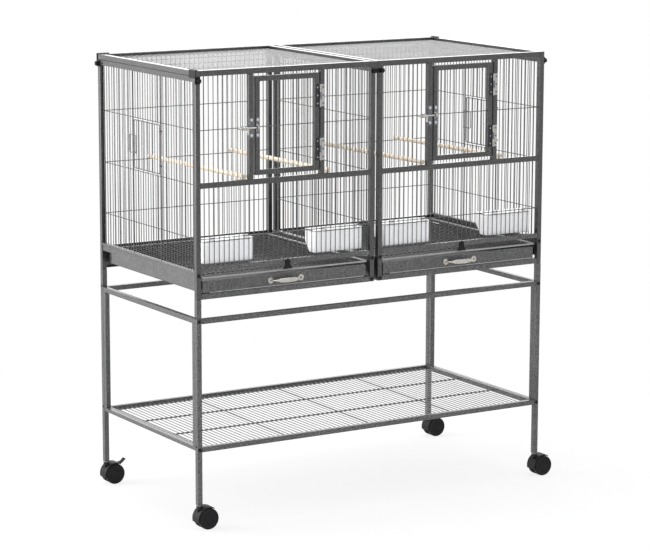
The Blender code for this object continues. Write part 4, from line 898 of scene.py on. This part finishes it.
def door(name, x0):
    left = x0 + JAMB + TUBE + LATCH_GAP
    across = (left, left + DOOR_WIDTH)
    up = (MID_Z + RAIL + 0.008, TOP_Z - RAIL - 0.006)
    inner, clear = ((low + TUBE, high - TUBE) for low, high in (across, up))
    piece = Piece(f"front_door_{name}")
    piece.add(ring(FACE, across, up, (FRONT, FRONT + TUBE), TUBE), COAT, EDGE)
    corners = (((line[0], 1), (line[1], -1)) for line in (inner, clear))
    welds(piece, FACE, *corners, WELD_DEPTH, WELD)
    grid(piece, [inner], clear, ROWS[:1])
    piece.make(f"door_{name}")

    fittings = Piece(f"door_fittings_{name}", extra=True)
    pin = (across[1] + HINGE_GAP / 2, FRONT - SEAT - 0.0026)
    for place, height in (("upper", up[1] - 0.0525), ("lower", up[0] + 0.0495)):
        hinge(fittings, place, name, pin, height, across[1])
    x, z = across[0] + SEAT, ROWS[0]
    keeper = (x, FRONT - 0.0015, z - 0.024)
    fittings.box(keeper, (x + 0.0104, FRONT + 0.0001, z + 0.024), ZINC, THIN)
    loop = [(BOLT_Y - dy, dz + z) for dy, dz in arc((0, 0), 0.0042, -150, 150, 24)]
    loop = [(FRONT - 0.0014, z - 0.007)] + loop + [(FRONT - 0.0014, z + 0.007)]
    for dx in (0.0013, 0.0032, 0.0051):
        fittings.add(swept([(x + dx, *place) for place in loop], 0.0009), NICKEL)
    for s in (-1, 1):
        screw(fittings, (x + 0.0052, FRONT - 0.0015, z + s * 0.0175), FORWARD, 0.0031)
    fittings.make(f"door_{name}")


def knuckle(piece, pin, low, high, look):
    """One turn of a hinge's barrel round its pin."""
    profile = ((low, 0.0024), (low + 0.0004, 0.0026), (high - 0.0004, 0.0026), (high, 0.0024))
    piece.add(turned(profile, (*pin, 0), SKYWARD, 20), look)


def hinge(fittings, place, name, pin, height, stile):
    """A butt hinge: the door's leaf joins the door's fittings, and the other leaf is a piece of its own."""
    half, leaf_width, thick = 0.026, 0.011, 0.0012
    middle = 0.052 / 3 / 2
    low, high = height - middle + 0.0004, height + middle - 0.0004
    start = (stile - leaf_width, FRONT - thick, height - half)
    fittings.box(start, (pin[0] - 0.0029, FRONT + 0.0001, height + half), DARK_ZINC, THIN)
    fittings.box((pin[0] - 0.0035, FRONT - thick, low), (pin[0], FRONT - 0.0006, high), ZINC)
    knuckle(fittings, pin, low, high, ZINC)
    for s in (-1, 0, 1):
        screw(fittings, (stile - 0.0048, FRONT - 0.0011, height + s * 0.0185), FORWARD, 0.0021, PALE_ZINC)

    leaf = Piece(f"door_hinge_{place}_{name}")
    face, edge = FRONT - SEAT, pin[0] + 0.0029
    start = (edge, face - thick, height - half + SEAT)
    leaf.box(start, (stile + HINGE_GAP + leaf_width, face, height + half - SEAT), PALE_ZINC, THIN)
    for s in (-1, 1):
        low, high = sorted((height + s * half, height + s * (middle + 0.0004)))
        knuckle(leaf, pin, low, high, PALE_ZINC)
        leaf.box((pin[0], FRONT - thick, low + 0.0004), (edge + 0.0006, FRONT - 0.0005, high - 0.0004), ZINC)
    leaf.add(rod((*pin, height - half + 0.001), (*pin, height + half - 0.001), 0.0013, 12), SCREW)
    for s in (-1, 0, 1):
        screw(leaf, (edge + 0.0052, face - 0.0011, height + s * 0.0185), FORWARD, 0.0024, ZINC)
    leaf.make("frame")


def bolt(name, x0):
    y, z, face = BOLT_Y, ROWS[0], FRONT - SEAT
    end = x0 + JAMB + TUBE - SEAT
    start = x0 + JAMB - 0.02
    piece = Piece(f"latch_barrel_{name}")
    piece.box((end - 0.011, face - 0.0012, z - 0.024), (end, face, z + 0.024), ZINC, THIN)
    tongue = (x0 + JAMB + 0.006, face - 0.0001, z + 0.0045)
    piece.box((start, FRONT - 0.0024, z - 0.0045), tongue, ZINC, THIN)
    rings = []
    for along, grow in ((0.0003, 0.94), (0.0009, 1), (0.0114, 1), (0.012, 0.94)):
        section = arc((y, z), 0.0042 * grow, -30, -330, 19) + arc((y, z), 0.0029, 30, 330, 19)
        rings.append([(start + along, a, b) for a, b in section])
    piece.add(loft(rings), NICKEL)
    for s in (-1, 1):
        screw(piece, (end - 0.0056, face - 0.0012, z + s * 0.0175), FORWARD, 0.0031)
    piece.make("frame")

    slider = Piece(f"latch_bolt_{name}")
    tail = end + LATCH_GAP - 0.047
    profile = ((0, 0.0016), (0.0008, 0.0023), (0.0455, 0.0023), (0.0466, 0.0018), (0.047, 0.001))
    slider.add(turned(profile, (tail, y, z), (1, 0, 0), 20), NICKEL)
    tab = start + 0.012 + 0.0006
    outline = [(tab, z + 0.0016), (tab + 0.004, z + 0.0016), (tab + 0.004, z - 0.01)]
    outline += arc((tab + 0.002, z - 0.0138), 0.0021, 0, -180, 10) + [(tab, z - 0.01)]
    slider.add(prism(outline, FACE, (y - 0.0014, y + 0.0014)), NICKEL, 0.0005)
    slider.make(f"bolt_{name}")


def feeder(name, x):
    row_back = FRONT + INSET + WIRE + SEAT + WIRE / 2
    near = row_back + SEAT
    rim = ROWS[2] - WIRE / 2 - 0.004
    foot = rim - CUP_HEIGHT
    knee = foot + CUP_HEIGHT * 0.45

    def section(z, inset, lean):
        width, depth = CUP_WIDTH - 2 * inset, CUP_DEPTH - 2 * inset - lean
        outline = rounded(width, depth, max(0.0015, 0.008 - inset), 6)
        return [(x + a, near + CUP_DEPTH / 2 - lean / 2 + b, z) for a, b in outline]

    outside = (
        (foot, 0.0028, 0.018), (foot + 0.0006, 0.0012, 0.018), (foot + 0.0022, 0.0002, 0.0172),
        (foot + 0.01, 0.0002, 0.0115), (knee - 0.002, 0.0001, 0.0014), (knee + 0.002, 0, 0.0001),
        (rim - 0.0042, 0.0001, 0), (rim - 0.003, 0, 0), (rim - 0.0006, 0, 0), (rim, 0.0006, 0),
    )
    inside = (
        (rim, 0.0014, 0), (rim - 0.0006, 0.002, 0), (knee, 0.002, 0.0004), (foot + 0.006, 0.0021, 0.0158),
        (foot + 0.0026, 0.0034, 0.018), (foot + 0.002, 0.006, 0.018),
    )
    lip = ((rim - 0.004, 0.0004, 0), (rim - 0.0036, 0, 0), (rim - 0.0012, 0, 0), (rim - 0.0008, 0.0004, 0))
    piece = Piece(f"feeder_{name}")
    for rows in (outside + inside, lip):
        piece.add(loft([section(*row) for row in rows]), WHITE)
    hook_top = ROWS[2] + WIRE / 2 + SEAT + 0.002
    for middle in (x - 0.044, x + 0.044):
        tab = (middle + 0.006, near + 0.0016, hook_top)
        piece.box((middle - 0.006, near + SEAT, rim - 0.003), tab, WHITE, THIN)
        hook = (middle - 0.0057, row_back - WIRE / 2, hook_top - 0.002)
        piece.box(hook, (middle + 0.0057, near + 0.0012, hook_top - SEAT), WHITE, THIN)
    piece.make(f"cup_{name}")


def perch(name, x):
    reach = INSET + WIRE / 2 + SEAT
    front = (x, FRONT + reach, MID_Z + RAIL + SEAT + 0.0055)
    back = (x, BACK - reach, ROWS[1] + WIRE / 2 + SEAT + 0.0055)
    axis = Vector(back) - Vector(front)
    length = axis.length
    profile = [(0, 0.0046), (0.0008, PERCH_R)]
    for step in range(1, 24):
        uneven = 0.00016 * sin(step * 2.3 + x * 40)
        profile.append((0.001 + (length - 0.002) * step / 24, PERCH_R + uneven))
    profile += [(length - 0.0008, PERCH_R), (length, 0.0046)]
    piece = Piece(f"perch_{name}")
    piece.add(turned(profile, front, axis), WOOD)
    piece.make("frame")


def joining_clip(name, face_y, out_y):
    """A strip over both middle posts with two thumb screws, and the spacer behind it."""
    piece = Piece(f"joining_clip_{name}")
    near, far = face_y + out_y * SEAT, face_y + out_y * (SEAT + 0.0025)
    half, gap = BAY_GAP / 2 + TUBE, BAY_GAP / 2 + SEAT
    piece.box((-half, near, TOP_Z - 0.0275), (half, far, TOP_Z - 0.018), BLACK, 0.0008)
    spacer = (-gap, face_y - out_y * 0.0004, TOP_Z - 0.028)
    piece.box(spacer, (gap, face_y - out_y * TUBE, TOP_Z - 0.0006), COAT, 0.0006)
    for side in (-1, 1):
        place = (side * (half - TUBE / 2), far - out_y * 0.0003, TOP_Z - 0.03 + 0.0077)
        knob(piece, place, (0, out_y, 0), 0.0068)
    piece.make("frame")


def base_frame(name, x0):
    """Folded sheet round the tray: a sill, a back wall, two side walls and their runners."""
    piece = Piece(f"base_frame_{name}")
    narrow = (x0 + TUBE + SEAT, x0 + BAY - TUBE - SEAT)
    front, back = INNER_Y
    rear, ledge = BACK - SEAT, BASE_Z + 0.003

    def sheet(corner, opposite, bevel=0.0006):
        piece.box(corner, opposite, LOWER_LIT_COAT, bevel)

    sheet((narrow[0], FRONT + SEAT, BASE_Z + SEAT), (narrow[1], front + SHEET, SILL + BASE_Z - SEAT), 0.0008)
    sheet((narrow[0] - SEAT / 2, rear - SHEET, ledge), (narrow[1] + SEAT / 2, rear, BASE_Z + APRON))
    sheet((narrow[0], back - SHEET, ledge), (narrow[1], rear - SHEET / 2, ledge + SHEET), 0.0005)
    for side_name, wall, inward in (("left", x0 + SHEET, 1), ("right", x0 + BAY - SHEET, -1)):
        outer = side_name == name
        foot, top = (SIDE_FOOT, SIDE_TOP) if outer else (BASE_Z, BASE_Z + APRON)
        end = back - NOTCH if outer else back
        inside = wall + inward * SHEET
        sheet((wall, front, foot), (inside, end, top))
        if outer:
            sheet((wall, end - SHEET, top - 0.0125), (inside, back, top))
            sheet((wall, end - SHEET, foot), (wall + inward * 0.01, end, top - 0.0125))
        sheet((wall, front, foot), (wall + inward * 0.013, end, foot + SHEET))
        for height, low, high in ((TRAY_Z, 0.024, 0.036), (GRATE_Z, 0.0024, 0.02)):
            start = (wall + inward * low, front + SHEET / 2, height - SEAT - SHEET)
            sheet(start, (wall + inward * high, back + SHEET, height - SEAT), 0.0004)
    piece.make()


def cage(name, x0):
    for build in (base_frame, front_panel, back_panel, top_panel, door, bolt, tray, grate, stop_catch):
        build(name, x0)
    outer_x, inward = (LEFT + SEAT, 1) if name == "left" else (RIGHT - SEAT, -1)
    grille = f"outer_side_panel_{name}"
    side_grille(grille, outer_x, inward, TUBE - SEAT, SIDE_TOP + SEAT, NEST_OPENING)
    nest_door(name, outer_x, inward)
    for place, cup_x, perch_x in (("a", 0.09, 0.131), ("b", 0.385, 0.3545)):
        feeder(f"{name}_{place}", x0 + cup_x)
        perch(f"{name}_{place}", x0 + perch_x)


stand()
for depth_name, y in (("front", FRONT + TUBE / 2), ("back", BACK - TUBE / 2)):
    for side_name, x in (("left", LEFT + TUBE / 2), ("right", RIGHT - TUBE / 2)):
        caster(f"{depth_name}_{side_name}", x, y, depth_name == "back")
for bay, bay_x in BAYS.items():
    cage(bay, bay_x)
clip("front_left", (LEFT, FRONT), (0, -1), (-1, 0))
clip("front_right", (RIGHT, FRONT), (1, 0), (0, -1), False)
clip("back_left", (LEFT, BACK), (-1, 0), (0, 1))
clip("back_right", (RIGHT, BACK), (0, 1), (1, 0))
divider_x = BAY_GAP / 2 + 2 * SHEET
side_grille("centre_divider", -divider_x, 1, 2 * divider_x, BASE_Z + APRON + SEAT, None)
joining_clip("front", FRONT, -1)
joining_clip("back", BACK, 1)


# Studio
def shown(tree):
    """1 for what the camera sees, directly or by way of gloss or glass."""
    path = tree.nodes.new("ShaderNodeLightPath").outputs
    total = path["Is Camera Ray"]
    for ray in ("Is Glossy Ray", "Is Transmission Ray"):
        total = node(tree, "ShaderNodeMath", {0: total, 1: path[ray]}, "MAXIMUM").outputs["Value"]
    return total


def mixed_shader(tree, share, first, second, output):
    mix = node(tree, "ShaderNodeMixShader", {"Fac": share, 1: first, 2: second})
    node(tree, output, {"Surface": mix.outputs["Shader"]})


def backdrop():
    """A white world for the camera, and a dimmer, cooler one for the light that falls on the cage."""
    world = bpy.data.worlds.new("studio")
    bpy.context.scene.world = world
    world.use_nodes = True
    tree = world.node_tree
    tree.nodes.clear()
    dim, white = (
        node(tree, "ShaderNodeBackground", {"Color": colour, "Strength": strength}).outputs["Background"]
        for colour, strength in (((0.93, 0.95, 1.0, 1), 0.7), ((1, 1, 1, 1), 1.0))
    )
    mixed_shader(tree, shown(tree), dim, white, "ShaderNodeOutputWorld")


def ground():
    """A pale matte floor that takes soft shadows and fades to white away from the cage."""
    bm = bmesh.new()
    bmesh.ops.create_grid(bm, x_segments=1, y_segments=1, size=6)
    floor = add_object("studio_floor", mesh_of(bm, "studio_floor"))
    made = bpy.data.materials.new("studio_white")
    made.use_nodes = True
    tree = made.node_tree
    tree.nodes.clear()
    matte = node(tree, "ShaderNodeBsdfDiffuse", {"Color": (0.82, 0.82, 0.82, 1)}).outputs["BSDF"]
    glow = node(tree, "ShaderNodeEmission", {"Color": (1, 1, 1, 1), "Strength": 1.0}).outputs["Emission"]
    distance = node(tree, "ShaderNodeVectorMath", {0: coords(tree)}, "LENGTH").outputs["Value"]
    fade = span(tree, distance, 0.8, 1.0, 0.7, 1.5)
    share = node(tree, "ShaderNodeMath", {0: shown(tree), 1: fade}, "MULTIPLY").outputs["Value"]
    mixed_shader(tree, share, matte, glow, "ShaderNodeOutputMaterial")
    floor.data.materials.append(made)


def lamps():
    for name, place, size, power in (
        ("key", (-3.4, 1.7, 1.5), 2.6, 165),
        ("overhead", (0.2, 0.5, 4.0), 3.4, 110),
        ("fill", (-2.6, -4.4, 2.2), 2.2, 45),
        ("rim", (2.6, 4.6, 2.4), 3.0, 38),
    ):
        data = bpy.data.lights.new(name, "AREA")
        data.shape = "SQUARE"
        data.size = size
        data.energy = power
        lamp = add_object(name, data)
        lamp.location = place
        aim = Vector((0, 0, 0.65)) - Vector(place)
        lamp.rotation_mode = "QUATERNION"
        lamp.rotation_quaternion = aim.to_track_quat("-Z", "Y")


def camera():
    yaw, pitch, roll = -0.5507, 0.1791, 0.0026
    ahead = Vector((-sin(yaw) * cos(pitch), cos(yaw) * cos(pitch), -sin(pitch)))
    right = Vector((cos(yaw), sin(yaw), 0))
    up = right.cross(ahead)
    level = cos(roll) * right + sin(roll) * up
    above = -sin(roll) * right + cos(roll) * up
    data = bpy.data.cameras.new("camera")
    data.sensor_fit = "HORIZONTAL"
    data.sensor_width = 36
    data.lens = 141.1
    data.clip_start = 0.1
    data.clip_end = 60
    made = add_object("camera", data)
    turn = Matrix((level, above, -ahead)).transposed().to_4x4()
    place = Vector((LEFT - 2.7089, FRONT - 4.964, FOOT_Z + 1.559)) + SHIFT
    made.matrix_world = Matrix.Translation(place) @ turn
    bpy.context.scene.camera = made


backdrop()
ground()
lamps()
camera()
bpy.context.scene.view_settings.view_transform = "Standard"
bpy.context.view_layer.update()
